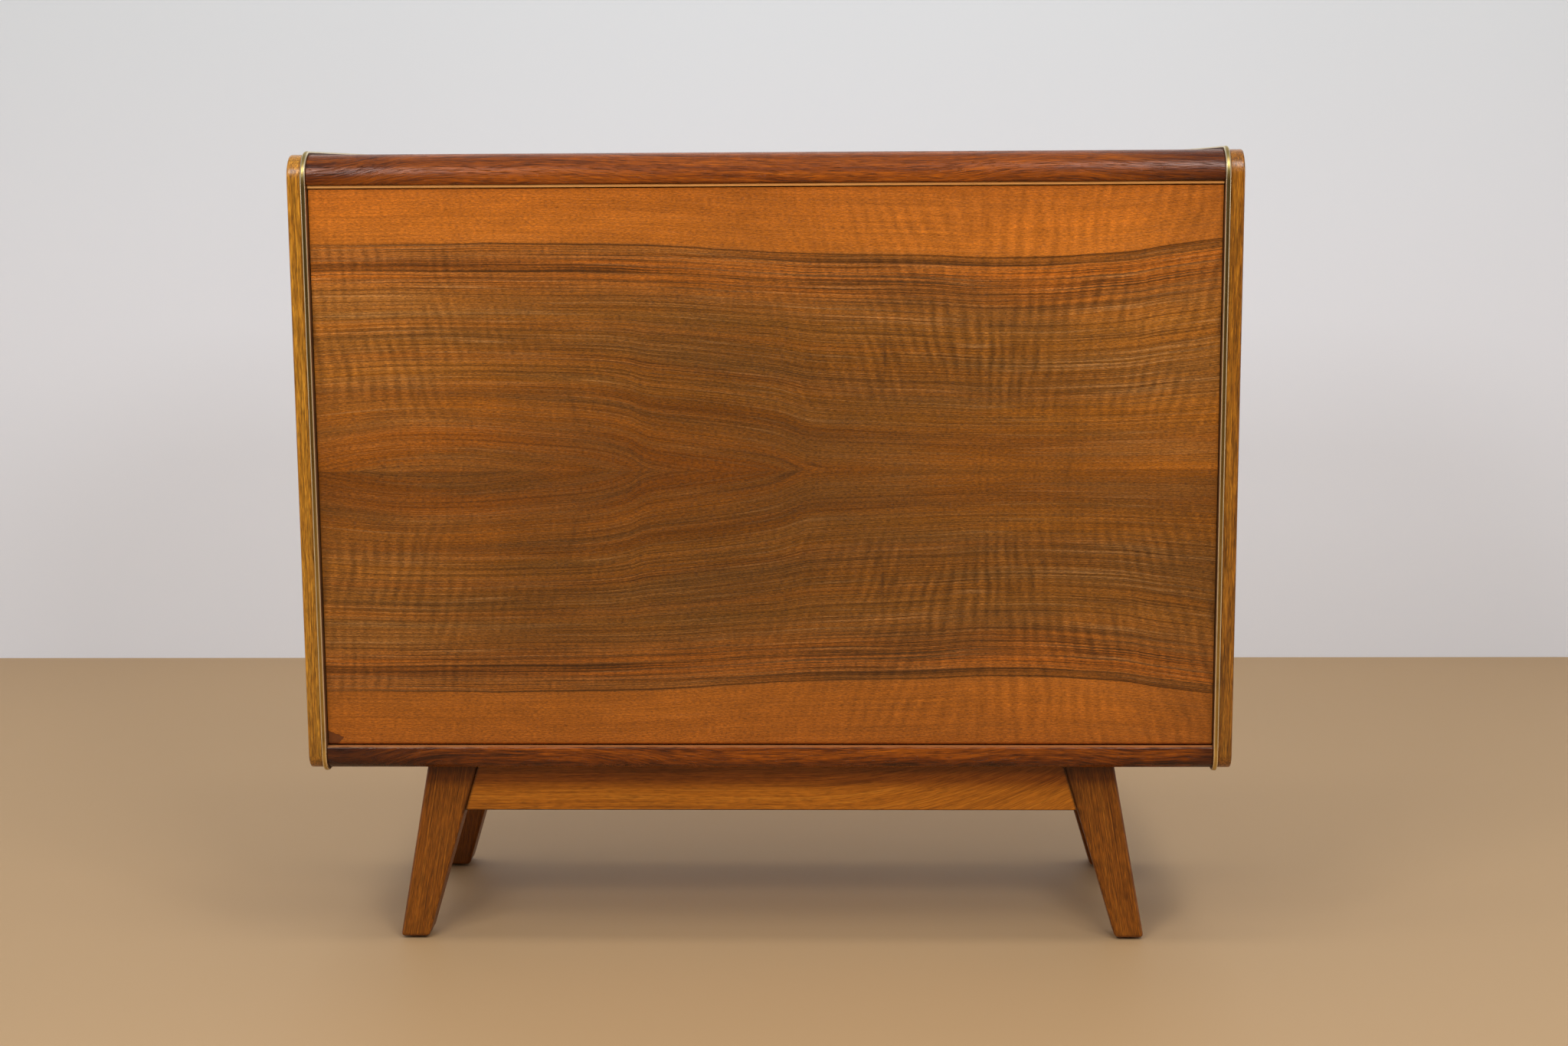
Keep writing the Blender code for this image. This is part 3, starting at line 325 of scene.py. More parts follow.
def wood(
    name, dark, middle, light, along, across, pores=0.5, ring=60.0, streak=0.5, roughness=0.38,
    coat=0.25, fleck=0.0, wander=0.006, spread=0.09, mottle=0.0, shimmer=0.0, stripe=0.0,
    shaded=None,
):
    """Straight-grained wood. along and across pick the grain's directions from the place.

    ring is the growth rings' waves per metre, streak the finer lines' share of the colour, wander
    how far the grain bends in metres, and spread a quarter of the noise's span from dark to light.
    pores darkens pores, fleck fine dashes and mottle patches. shimmer breaks the grain into short
    light and dark strokes, stripe draws long fine ones, and shaded gives a place's share of light.
    """
    shade = Shade(name, roughness=roughness, coat=coat, coat_roughness=0.22, specular=0.35)
    run = along(shade)
    first, second = across(shade)

    def grain(along_waves, across_waves, **more):
        return shade.noise((run * along_waves, first * across_waves, second * across_waves), **more)

    bend = (grain(*WOOD_BEND) - NOISE_MIDDLE) * wander
    first, second = first + bend, second + bend * SIDEWAYS_BEND
    rings = grain(WOOD_RINGS_ALONG, ring, detail=3, roughness=0.6)
    lines = grain(WOOD_LINES_ALONG, ring * WOOD_LINES_IN_RING, detail=2, roughness=0.7)
    colour = (rings * (1 - streak) + lines * streak).ramp([
        (NOISE_MIDDLE - spread * 2, dark),
        (NOISE_MIDDLE, middle),
        (NOISE_MIDDLE + spread * 2, light),
    ])
    pore = grain(*WOOD_PORES, detail=1).step(*PORE_SPAN)
    colour = shade.mix(pore * pores, colour, dimmed(dark, PORE_DIMMED))
    ray = grain(*WOOD_RAYS, detail=1)
    if fleck:
        colour = shade.mix(ray.step(*FLECK_SPAN) * fleck, colour, dimmed(dark, FLECK_DIMMED))
    if stripe:
        long_lines = grain(*WOOD_STRIPES, detail=1.5, roughness=0.6)
        colour = shade.lit(colour, long_lines.step(*STRIPE_SPAN, 1 + stripe, 1 - stripe))
    if shimmer:
        colour = shade.lit(colour, ray.step(*NOISE_SPAN, 1 + shimmer, 1 - shimmer))
    if mottle:
        patch = grain(*WOOD_PATCHES, detail=4, roughness=0.65)
        colour = shade.mix(patch.step(*MOTTLE_SPAN) * mottle, colour, dark)
    light_share = grain(*WOOD_BROAD).step(*NOISE_SPAN, 0.93, 1.07)
    if shaded:
        light_share = light_share * shaded(shade)
    return shade.done(
        shade.lit(colour, light_share),
        roughness=lines.step(*NOISE_SPAN, roughness + 0.05, roughness - 0.05),
        height=pore * -0.7 + lines * 0.3, depth=WOOD_RELIEF,
    )


# The front's veneer. Its upper leaf is mirrored below the joint, a little out of place. Growth is
# how far out in the trunk a place grew, in metres, and shares run from the panel's left end.
LEAF_SHIFT = 0.0024
LEAF_DROP = 0.0007

# How far the bands beside the joint are pushed away from it, which ends ARCH_RISE away
ARCH_RANGE = (-0.05, 0.10)
ARCH_SHARES = [
    (0.0, 0.060), (0.05, 0.068), (0.10, 0.0735), (0.17, 0.0725), (0.25, 0.065), (0.303, 0.060),
    (0.346, 0.049), (0.372, 0.035), (0.412, 0.029), (0.466, 0.022), (0.510, 0.0147),
    (0.533, 0.006), (0.552, 0.0), (0.61, -0.003), (0.72, -0.006), (1.0, -0.008),
]
ARCH_RISE = 0.20

# The same for the bands further out, full from DIP_RISE on: below 0 they dip towards the joint
DIP_RANGE = (-0.02, 0.005)
DIP_SHARES = [
    (0.0, 0.0), (0.32, 0.0), (0.50, -0.007), (0.68, -0.0122), (0.77, -0.0153), (0.874, -0.0122),
    (0.94, -0.005), (1.0, 0.002),
]
DIP_RISE = 0.13
SLOW_WANDER = 0.010
QUICK_WANDER = 0.0026

# The curl, which crosses the grain: how strong it is and how it leans, and its waves
CURL_RANGE = (0.0, 1.0)
CURL_SHARES = [
    (0.0, 0.75), (0.10, 0.85), (0.20, 0.35), (0.38, 0.22), (0.52, 0.35), (0.62, 0.75), (0.70, 0.95),
    (0.80, 1.0), (0.90, 0.8), (1.0, 0.7),
]
CURL_LEAN_RANGE = (-0.3, 0.35)
CURL_LEAN_SHARES = [(0.0, 0.1), (0.3, 0.25), (0.6, 0.3), (0.8, -0.1), (1.0, -0.25)]
CURL_UPRIGHT_RISE = 0.14
CURL_WANDER = 0.010
CURL_TURN = 500  # radians of its wave in a metre
CURL_DRIFT = 11  # radians by which a noise moves the wave
RIPPLE_SHARE = 0.62  # the even wave's share of the curl; the rest is an uneven flame
CURL_BEND = 0.0016  # how far it moves the growth
CURL_LIGHT = 2.3  # how much it brightens and darkens

# Noises of the veneer: waves per metre along it and across it, shifts of both, detail, roughness
FIGURE_NOISES = {
    "slow": (2.6, 7, 0, 0, 2, 0.5),
    "quick": (13, 40, 0, 0, 2, 0.5),
    "curl_wander": (16, 22, 0, 0, 2, 0.5),
    "curl_drift": (13, 11, 0, 0, 1, 0.5),
    "curl_flame": (120, 30, 0, 3, 1.5, 0.45),
    "curl_patch": (9, 13, 0, 7, 2, 0.5),
    "dusk": (4, 26, 5, 0, 3, 0.6),
    "wide": (1, 62, 0, 0, 2, 0.5),
    "lines": (2.2, 240, 0, 0, 2, 0.6),
    "hair": (4, 900, 0, 5, 1.5, 0.5),
    "pale": (4, 1300, 3, 0, 1.5, 0.5),
    "edge": (1.6, 120, 8, 0, 2, 0.5),
    "gleam": (1.3, 150, 2, 4, 2, 0.5),
    "fade": (5, 300, 0, 0, 2, 0.5),
    "fibre": (250, 950, 0, 0, 2, 0.75),
    "stroke": (5, 420, 9, 0, 2, 0.65),
    "blot": (30, 70, 0, 0, 3, 0.6),
    "broad": (3.8, 6, 0, 2, 2, 0.5),
    "pore": (210, 2300, 0, 9, 1, 0.5),
    "ragged": (260, 120, 0, 0, 1, 0.5),
}

# The ground colour by growth, and the growth at which the pale sapwood starts
FIGURE_COLOURS = [
    (-0.07, (126, 68, 12)),
    (-0.01, (130, 70, 12)),
    (0.012, (142, 80, 16)),
    (0.040, (124, 68, 12)),
    (0.065, (140, 82, 18)),
    (0.095, (128, 74, 18)),
    (0.130, (132, 78, 20)),
    (0.155, (140, 84, 24)),
    (0.180, (150, 87, 26)),
    (0.197, (168, 92, 24)),
    (0.210, (180, 96, 22)),
    (0.2245, (172, 97, 28)),
    (0.2295, (184, 104, 30)),
    (0.2500, (190, 106, 29)),
    (0.30, (184, 100, 27)),
]
SAPWOOD = (0.226, 0.231)
BOLD_GROWTH = (0.205, 0.035)  # the middle of the growth with the strongest lines, and its reach

# Dark lines of the figure: where in the growth, half their width, and how strong by share
FIGURE_LINES = [
    (0.2278, 0.0014, [(0.0, 0.75), (0.3, 0.95), (0.6, 1.0), (1.0, 1.0)]),
    (0.2238, 0.0052, [(0.0, 0.0), (0.38, 0.05), (0.55, 0.50), (0.8, 0.50), (1.0, 0.35)]),
    (0.2205, 0.0017, [(0.0, 0.1), (0.3, 0.3), (0.5, 0.75), (0.65, 0.9), (1.0, 0.7)]),
    (0.2128, 0.0010, [(0.0, 0.35), (0.4, 0.5), (0.7, 0.6), (1.0, 0.5)]),
    (0.2040, 0.0056, [(0.0, 0.55), (0.22, 0.55), (0.33, 0.30), (0.40, 0.0), (1.0, 0.0)]),
    (0.2070, 0.0016, [(0.0, 0.70), (0.25, 0.75), (0.36, 0.4), (0.7, 0.45), (1.0, 0.35)]),
    (0.2012, 0.0019, [(0.0, 0.85), (0.25, 0.95), (0.38, 0.4), (0.7, 0.5), (1.0, 0.3)]),
    (0.1925, 0.0012, [(0.0, 0.2), (0.4, 0.4), (0.65, 0.6), (1.0, 0.4)]),
    (0.1800, 0.0014, [(0.0, 0.1), (0.5, 0.25), (0.65, 0.6), (1.0, 0.4)]),
]
LINE_COLOUR = (76, 42, 10)
PORE_COLOUR = (58, 32, 10)
MARK_COLOUR = (66, 38, 14)
FIGURE_RELIEF = 0.00012

# Blots and pin knots: place along, reach, height from the joint, reach, strength
FIGURE_SPOTS = [
    (-0.4545, 0.008, 0.132, 0.008, 0.6),
    (0.4555, 0.009, 0.147, 0.020, 0.6),
    (0.306, 0.004, 0.0, 0.003, 0.8),
    (-0.388, 0.005, 0.005, 0.003, 0.8),
]

# The flake that is lost at the lower left corner
FLAKE_HEIGHT = 0.0148  # at the panel's end, from where its upper edge falls
FLAKE_TOP_SLANT = -0.42
FLAKE_FOOT = 0.0095  # along the panel's lower edge, from where its side leans out
FLAKE_SIDE_SLANT = 0.95
FLAKE_WIDTH = 0.0160
FLAKE_RIM = 0.0004
FLAKE_TEAR = 0.002
FLAKE_TEAR_WAVES = 300
FLAKE_COLOUR = (92, 48, 22)

# The line where the two leaves meet, with the heights over which it darkens and how far
JOINT_LINE = (-0.006, -0.0002, 0.0, 0.18)
JOINT_COLOUR = (84, 50, 16)


class Leaf:
    """Where a place lies in the front's veneer."""

    def __init__(self, shade):
        self.shade = shade
        self.under = (shade.z * -1).above(-JOINT_Z)
        self.across = shade.x + self.under * LEAF_SHIFT
        self.rise = (shade.z - JOINT_Z).abs() + self.under * LEAF_DROP
        self.share = self.across / PANEL_WIDTH + 0.5

    def noise(self, name, out, along=None):
        """The named noise, by the height or growth in out and the distance along the panel."""
        along_waves, out_waves, along_shift, out_shift, detail, roughness = FIGURE_NOISES[name]
        along = along or self.across
        place = (along * along_waves + along_shift, out * out_waves + out_shift)
        return self.shade.noise(place, detail=detail, roughness=roughness)

    def waver(self, name, size):
        """The named noise as a distance to either side of nothing, of half of size at most."""
        return (self.noise(name, self.rise) - NOISE_MIDDLE) * size


def figure_growth(leaf):
    """The growth of each place, and the curl of its grain from shadow to light."""
    share, rise = leaf.share, leaf.rise
    arch = share.curve(ARCH_SHARES, *ARCH_RANGE) * rise.step(0.0, ARCH_RISE, 1.0, 0.0)
    dip = share.curve(DIP_SHARES, *DIP_RANGE) * rise.step(0.0, DIP_RISE, 0.15, 1.0)

    lean = (rise - CURL_UPRIGHT_RISE) * share.curve(CURL_LEAN_SHARES, *CURL_LEAN_RANGE)
    leaning = leaf.across + lean + leaf.waver("curl_wander", CURL_WANDER)
    drift = leaf.noise("curl_drift", rise) * CURL_DRIFT
    ripple = (leaning * CURL_TURN + drift).sine() * 0.16 + 0.5
    flame = leaf.noise("curl_flame", rise, leaning)
    curl = ripple * RIPPLE_SHARE + flame * (1 - RIPPLE_SHARE)
    patch = leaf.noise("curl_patch", rise).step(0.36, 0.62, 0.3, 1.0)
    strength = share.curve(CURL_SHARES, *CURL_RANGE) * patch * rise.step(0.03, 0.09, 0.15, 1.0)
    rim = (rise - dip).step(0.222, 0.232) * share.step(0.5, 0.2, 0.45, 0.8)
    curl = (curl - 0.5) * strength * rim.rest()

    wander = leaf.waver("slow", SLOW_WANDER) + leaf.waver("quick", QUICK_WANDER)
    return rise - arch - dip + wander + curl * CURL_BEND, curl


def figure_colour(leaf, growth, lines):
    """The veneer's colour by its growth, with the layers of its grain over one another."""
    shade, share = leaf.shade, leaf.share
    sapwood = growth.step(*SAPWOOD)
    calm = sapwood * -0.80 + 1
    bold = growth.near(*BOLD_GROWTH) * 0.7 * calm + calm
    soft = leaf.rise.step(0.0, 0.10, 0.45, 1.0)
    dusk = leaf.noise("dusk", growth).step(0.42, 0.64)
    dusk = dusk * calm * (growth.near(0.208, 0.02) * -0.25 + 0.42)
    wide = leaf.noise("wide", growth)
    hair = leaf.noise("hair", growth)
    pale = leaf.noise("pale", growth)
    edge = leaf.noise("edge", growth).near(NOISE_MIDDLE, 0.030)
    gleam = leaf.noise("gleam", growth).near(NOISE_MIDDLE, 0.026)
    fade = leaf.noise("fade", growth).step(0.35, 0.6)
    layers = [
        (sapwood * share.step(0.84, 1.0) * 0.45, (150, 84, 26)),
        (growth.near(0.216, 0.013) * share.step(0.40, 0.12) * 0.45, (142, 90, 40)),
        (dusk, (112, 76, 34)),
        (wide.step(0.50, 0.72) * calm * 0.40, (120, 76, 26)),
        (wide.step(0.50, 0.30) * calm * 0.25, (168, 92, 24)),
        (lines.step(0.54, 0.70) * bold * 0.34, LINE_COLOUR),
        (lines.step(0.46, 0.30) * calm * 0.20, (176, 104, 38)),
        (hair.step(0.50, 0.66) * bold * soft * 0.60, (70, 38, 8)),
        (edge * fade * bold * soft * 0.42, (66, 36, 10)),
        (pale.step(0.54, 0.68) * calm * soft * 0.26, (196, 134, 70)),
        (gleam * (fade * -0.6 + 1) * calm * soft * 0.28, (204, 150, 92)),
    ]
    for middle, reach, strength in FIGURE_LINES:
        line = growth.near(middle, reach) * share.curve(strength, 0.0, 1.0)
        layers.append((line * lines.step(0.25, 0.75, 0.75, 1.0), LINE_COLOUR))
    colour = growth.ramp(FIGURE_COLOURS)
    for cover, tint in layers:
        colour = shade.mix(cover, colour, tint)
    return colour


def figure_light(leaf, growth, curl, fibre):
    """How bright the veneer is: its fibres, patches and paler ends, and a painted shade lower down.
    """
    share, rise, under, over = leaf.share, leaf.rise, leaf.under, leaf.under.rest()
    sapwood = growth.step(*SAPWOOD)
    heartwood = rise.step(0.185, 0.215, 1.0, 0.0)
    beside_joint = rise.step(0.05, 0.02)
    paler = (
        share.step(0.25, 0.02) * heartwood * over * 0.38
        + share.step(0.78, 1.0) * rise.step(0.20, 0.12) * over * 0.36
        + share.step(0.20, 0.02) * rise.step(0.04, 0.08) * heartwood * under * 0.25
    )
    darker = (
        beside_joint * under * (share.near(0.20, 0.12) * 0.13 + 0.07)
        + share.near(0.25, 0.11) * rise.step(0.04, 0.06) * heartwood * under * 0.16
        + sapwood * over * share.near(0.45, 0.24) * 0.20
        + sapwood * under * share.step(0.75, 0.60, 0.04, 0.12)
    )
    middle_shadow = share.near(0.46, 0.30) * rise.step(0.26, 0.08)
    return (
        fibre.swing((sapwood * -0.15 + 1) * 2.3)
        * leaf.noise("stroke", growth).swing(sapwood * 0.35 + 0.30)
        * leaf.noise("blot", rise).swing(0.45)
        * (curl * CURL_LIGHT + 1)
        * leaf.noise("broad", rise).step(*NOISE_SPAN, 0.91, 1.09)
        * (middle_shadow * -0.20 + 1)
        * (paler - darker + 1)
        # painted shade: the front darkens towards its bottom
        * (leaf.shade.z - JOINT_Z).step(-0.28, 0.06, 0.755, 0.93)
    )


def figure_marks(leaf, growth):
    """Shadows that cross the grain, edge blots, pin knots and the dark heart, in both leaves."""
    shade, across, rise = leaf.shade, leaf.across, leaf.rise
    cross = across.near(0.120, 0.0035) * rise.step(0.080, 0.10) * rise.step(0.155, 0.135)
    ghost = (across + rise * 0.27).near(-0.1757, 0.006) * rise.near(0.065, 0.045)
    smear = across.near(0.306, 0.007) * rise.step(0.13, 0.10)
    marks = (cross * 0.55).most(ghost * 0.39).most(smear * 0.18)
    for place, reach, height, tall, strength in FIGURE_SPOTS:
        marks = marks.most(across.near(place, reach) * rise.near(height, tall) * strength)
    heart = shade.x + leaf.under * 0.032
    wedge = heart.near(0.052, 0.022) * (rise - (heart * -0.32 + 0.0215)).near(0.0, 0.0030)
    wedge = wedge.most(growth.near(0.0, 0.0016) * heart.near(0.02, 0.075) * 0.7)
    wedge = wedge.most(growth.near(-0.0350, 0.0014) * leaf.share.step(0.42, 0.30) * 0.5)
    ragged = leaf.noise("ragged", rise).step(0.35, 0.65, 0.4, 1.0)
    return marks.most(wedge * 0.85) * ragged


def lost_flake(shade):
    """Where a flake of veneer is lost, at the lower left corner."""
    out = shade.x - PANEL_LOW.x
    up = shade.z - PANEL_LOW.z
    torn = shade.noise((out * FLAKE_TEAR_WAVES, up * FLAKE_TEAR_WAVES))
    torn = (torn - NOISE_MIDDLE) * FLAKE_TEAR
    top_edge = (out * FLAKE_TOP_SLANT + FLAKE_HEIGHT + torn - up).step(0.0, FLAKE_RIM)
    side_edge = (up * FLAKE_SIDE_SLANT + FLAKE_FOOT + torn - out).step(0.0, FLAKE_RIM)
    right_edge = (out * -1 + FLAKE_WIDTH).step(0.0, FLAKE_RIM)
    return top_edge * side_edge * right_edge


def walnut_figure():
    """The flap's veneer: two leaves with the grain level, one the mirror of the other."""
    shade = Shade("walnut_figure", roughness=0.36, coat=0.08, coat_roughness=0.2, specular=0.3)
    leaf = Leaf(shade)
    growth, curl = figure_growth(leaf)
    lines = leaf.noise("lines", growth)
    fibre = leaf.noise("fibre", leaf.rise)
    pore = leaf.noise("pore", leaf.rise).step(0.56, 0.68)
    colour = figure_colour(leaf, growth, lines)
    colour = shade.lit(colour, figure_light(leaf, growth, curl, fibre))
    colour = shade.mix(pore * (growth.step(*SAPWOOD) * -0.18 + 0.50), colour, PORE_COLOUR)
    colour = shade.mix(figure_marks(leaf, growth), colour, MARK_COLOUR)
    joint = (shade.z - JOINT_Z).step(*JOINT_LINE) * leaf.under
    colour = shade.mix(joint, colour, JOINT_COLOUR)
    lost = lost_flake(shade)
    colour = shade.mix(lost * 0.85, colour, FLAKE_COLOUR)
    return shade.done(
        colour, roughness=lines.step(*NOISE_SPAN, 0.31, 0.40) + lost * 0.2,
        height=(pore * -0.6 + fibre * 0.25) - lost * 2.5, depth=FIGURE_RELIEF,
    )


ROSEWOOD_COLOURS = [
    (0.30, (168, 88, 10)), (0.44, (138, 68, 8)), (0.54, (106, 48, 6)), (0.62, (62, 26, 6)),
    (0.72, (38, 16, 5)),
]
ROSEWOOD_BEND = 0.018
ROSEWOOD_RELIEF = 0.0004
RAIL_ENDS = (0.26, 0.44)  # the rails darken between these places, from the middle
RAIL_RIGHT_END = (0.425, 0.450)
RAIL_END_COLOUR = (54, 22, 12)
RAIL_MIDDLE_COLOUR = (138, 68, 18)
RAIL_PORE_COLOUR = (30, 14, 8)
RAIL_SHADOW = (0.0, 0.013)  # above the body's underside
RAIL_HIGHLIGHT_SPAN = (0.0014, 0.0004)  # below the lower rail's upper edge, the span of its painted highlight
RAIL_HIGHLIGHT_COLOUR = (190, 140, 96)
# The lower rail's top face is painted paler, as if lit from above
LEDGE_HEIGHT = 0.00008
LEDGE_LIT_COLOUR = (196, 124, 70)


def rosewood(name, light_middle, dark_left, dark_right, highlit_top=None):
    """A rail: level grain with dark flames, darker at its ends, and a painted highlight on a given
    upper edge.
    """
    shade = Shade(name, roughness=0.26, specular=0.32)
    x, y, z = shade.x, shade.y, shade.z
    bend = (shade.cloud(5, 9) - NOISE_MIDDLE) * ROSEWOOD_BEND
    tilt = shade.noise((x * 1.7 + 4, 0.0, 0.0)).step(*NOISE_SPAN, -0.07, 0.09)
    level = z + y * 0.7 + x * tilt + bend
    flame = shade.noise((x * 5, level * 150, y * 40), detail=3, roughness=0.6)
    hair = shade.noise((x * 45, level * 800, y * 300), detail=2, roughness=0.75)
    colour = (flame * 0.64 + hair * 0.36).ramp(ROSEWOOD_COLOURS)
    end = x.abs().step(*RAIL_ENDS)
    right = x.above(0.0)
    shadow = end * (right.rest() * dark_left + right * dark_right)
    shadow = shadow.most(x.step(*RAIL_RIGHT_END) * 0.7)
    colour = shade.mix(shadow, colour, RAIL_END_COLOUR)
    colour = shade.mix(end.rest() * light_middle, colour, RAIL_MIDDLE_COLOUR)
    pore = shade.noise((x * 60, level * 1900, y * 700), detail=1).step(0.58, 0.72)
    colour = shade.mix(pore * 0.5, colour, RAIL_PORE_COLOUR)
    colour = shade.lit(colour, hair.step(*NOISE_SPAN, 1.22, 0.80))
    if highlit_top:
        # painted highlight along the lower rail's upper arris
        rail_edge_highlight = shade.noise((x * 45, 0.0, 0.0), detail=3).step(0.30, 0.60, 0.10, 0.40)
        rail_edge_highlight = rail_edge_highlight * x.step(-0.40, -0.22, 1.3, 0.5) * z.step(*down_from(highlit_top, RAIL_HIGHLIGHT_SPAN))
        colour = shade.lit(colour, z.step(*up_from(BODY_BASE, RAIL_SHADOW), 0.62, 1.0))
        colour = shade.mix(rail_edge_highlight, colour, RAIL_HIGHLIGHT_COLOUR)
        colour = shade.mix(z.above(highlit_top - LEDGE_HEIGHT) * 0.9, colour, LEDGE_LIT_COLOUR)
    return shade.done(
        colour, roughness=hair.step(*NOISE_SPAN, 0.20, 0.34), height=pore * -1 + hair * 0.35,
        depth=ROSEWOOD_RELIEF,
    )


BRASS_COLOURS = [(0.30, (214, 190, 122)), (0.50, (204, 176, 108)), (0.70, (170, 142, 84))]
BRASS_SPOT_COLOUR = (96, 74, 42)
# A dark reflection painted on the bead's face, and highlights painted on its edges
BEAD_FACE_REFLECTION_COLOUR = (120, 94, 50)
BEAD_EDGE_HIGHLIGHT_COLOUR = (255, 240, 206)
BEAD_EDGE_SPAN = (0.0011, 0.0016)  # the bead's painted edge highlights start here, from its middle line
BEAD_LOW_BEND = (0.014, 0.034)  # above the underside, where the bead turns upright
BEAD_HIGH_BEND = (0.050, 0.085)  # below the top, where it leaves the upright
RAIL_ROUNDING = (0.034, 0.022)  # below the top, where the upper rail's rounding starts
METAL_RELIEF = 0.00002
PLASTIC_RELIEF = 0.00004


def brass(name, polish, age, rubbed=0.0, middle=None):
    """Old brass. rubbed is how much rougher it gets above the height of the rails' rounding.

    middle is how far a strip's middle line lies from the cabinet's: a dark reflection is painted on
    its face there, and highlights on its edges, which are also rougher.
    """
    shade = Shade(name, roughness=polish, metallic=1.0)
    x, z = shade.x, shade.z
    cloud = shade.cloud(60, 25, detail=4, roughness=0.65)
    spot = shade.cloud(420, detail=2).step(0.60, 0.72)
    scratch = shade.cloud(900, 40, detail=1)
    colour = shade.mix(spot * age * 0.6, cloud.ramp(BRASS_COLOURS), BRASS_SPOT_COLOUR)
    rough = cloud.step(0.35, 0.7, polish - 0.04, polish + 0.09) + spot * age * 0.3
    rough = rough + z.step(*down_from(HEIGHT, RAIL_ROUNDING)) * rubbed
    if middle:
        # painted reflection and highlights: a dark upright face and bright edges, which are also
        # rougher
        edge_highlights = (x.abs() - middle).abs().step(*BEAD_EDGE_SPAN)
        upright = z.step(*up_from(BODY_BASE, BEAD_LOW_BEND))
        upright = upright * z.step(*down_from(HEIGHT, BEAD_HIGH_BEND))
        colour = shade.mix(edge_highlights.rest() * upright * 0.45, colour, BEAD_FACE_REFLECTION_COLOUR)
        colour = shade.mix(edge_highlights * 0.8, colour, BEAD_EDGE_HIGHLIGHT_COLOUR)
        rough = rough + edge_highlights * upright * 0.30
    return shade.done(colour, roughness=rough, height=scratch, depth=METAL_RELIEF)


def metal(name, colour, roughness):
    """Plain metal, brushed from front to back and a little clouded."""
    shade = Shade(name, roughness=roughness, metallic=1.0)
    brush = shade.cloud(300, 40, 900, detail=2)
    cloud = shade.cloud(50, detail=3)
    return shade.done(
        shade.lit(colour, cloud.step(*NOISE_SPAN, 0.86, 1.05)),
        roughness=brush.step(*NOISE_SPAN, roughness - 0.08, roughness + 0.1),
        height=brush, depth=METAL_RELIEF,
    )


def plastic(name, colour, roughness):
    """A matt surface with a fine grain, such as moulded plastic or the bead's flanks, dark as
    painted shade.
    """
    shade = Shade(name, roughness=roughness)
    grain = shade.cloud(1400, detail=2)
    cloud = shade.cloud(40, detail=3)
    return shade.done(
        shade.lit(colour, cloud.step(*NOISE_SPAN, 0.85, 1.15)),
        roughness=grain.step(*NOISE_SPAN, roughness - 0.06, roughness + 0.08),
        height=grain, depth=PLASTIC_RELIEF,
    )


LAMINATE_COLOURS = [(0.3, (214, 200, 164)), (0.5, (226, 214, 182)), (0.7, (234, 224, 196))]
LAMINATE_RELIEF = 0.00003


def laminate():
    """Cream laminate on the flap's inner face, with a fine mottle and faint wear."""
    shade = Shade("flap_laminate", roughness=0.28, coat=0.2)
    mottle = shade.cloud(220, detail=3, roughness=0.6)
    cloud = shade.cloud(7, detail=3)
    colour = shade.lit(mottle.ramp(LAMINATE_COLOURS), cloud.step(*NOISE_SPAN, 0.95, 1.03))
    wear = shade.cloud(18, detail=4).step(0.35, 0.7, 0.24, 0.36)
    return shade.done(colour, roughness=wear, height=mottle, depth=LAMINATE_RELIEF)


MIRROR_RIM = (0.002, 0.012)  # the greening fades between these, from the mirror's edges
MIRROR_RIM_WAVER = 0.006
SILVER_COLOUR = (226, 230, 230)
GREENED_COLOUR = (150, 166, 156)


def silvering():
    """Mirror with a faint greening towards its rim."""
    shade = Shade("mirror_silver", roughness=0.02, metallic=1.0)
    from_side = (shade.x - MIRROR_LOW.x).least(shade.x * -1 + MIRROR_HIGH.x)
    from_end = (shade.z - MIRROR_LOW.z).least(shade.z * -1 + MIRROR_HIGH.z)
    haze = shade.cloud(30, detail=4)
    edge = from_side.least(from_end) + haze * MIRROR_RIM_WAVER
    colour = shade.mix(edge.step(*MIRROR_RIM, 0.5, 0.0), SILVER_COLOUR, GREENED_COLOUR)
    return shade.done(colour, roughness=haze.step(0.5, 0.75, 0.015, 0.06))


def clear_glass():
    """Clear glass with a faint green tint and finger marks."""
    shade = Shade("shelf_glass", roughness=0.03, **{"Transmission Weight": 1.0, "IOR": 1.5})
    haze = shade.cloud(25, detail=3)
    colour = shade.mix(haze, (228, 242, 236), (218, 236, 228))
    return shade.done(colour, roughness=haze.step(0.4, 0.8, 0.01, 0.07))


def along_x(shade):
    return shade.x


def along_z(shade):
    return shade.z


def across_yz(shade):
    return shade.y, shade.z


def across_xy(shade):
    return shade.x, shade.y


CLIMB_START = 0.02
CLIMB_RATE = 0.9


def rising_to_right(shade):
    """Grain that runs level on the left and climbs towards the right end."""
    reach = (shade.x - CLIMB_START).most(0.0)
    return shade.y, shade.z - reach * reach * CLIMB_RATE


def across_leg(side):
    """Directions across a leg that splays to that side, -1 for the left one and 1 for the right."""
    def across(shade):
        return shade.x + shade.z * (side * LEG_GRAIN_SLOPE), shade.y

    return across


CHEEK_SHADOW = (0.0, 0.060)  # above the body's underside
APRON_SHADOW = (0.021, 0.012)  # below the apron's upper edge
APRON_RIM = (0.0004, 0.0016)  # above the apron's lower edge
APRON_END = (0.0004, 0.0032)  # inwards from the legs' inner edge
LEG_SHADOW = (0.019, 0.010)  # below the apron's upper edge
LEG_EDGE = (0.0006, 0.0030)  # outwards from the legs' inner edge
LEG_FREE = (0.0, 0.004)  # below the apron's lower edge


def cheek_painted_shade(shade):
    """Painted shade: a little darker towards the foot of the body."""
    return shade.z.step(*up_from(BODY_BASE, CHEEK_SHADOW), 0.80, 1.0)


def leg_inner_edge(shade):
    """How far from the middle the legs' inner edge lies at each height."""
    return (shade.z * -1 + BODY_BASE) * LEG_INNER_SLOPE + LEG_TOP_INNER


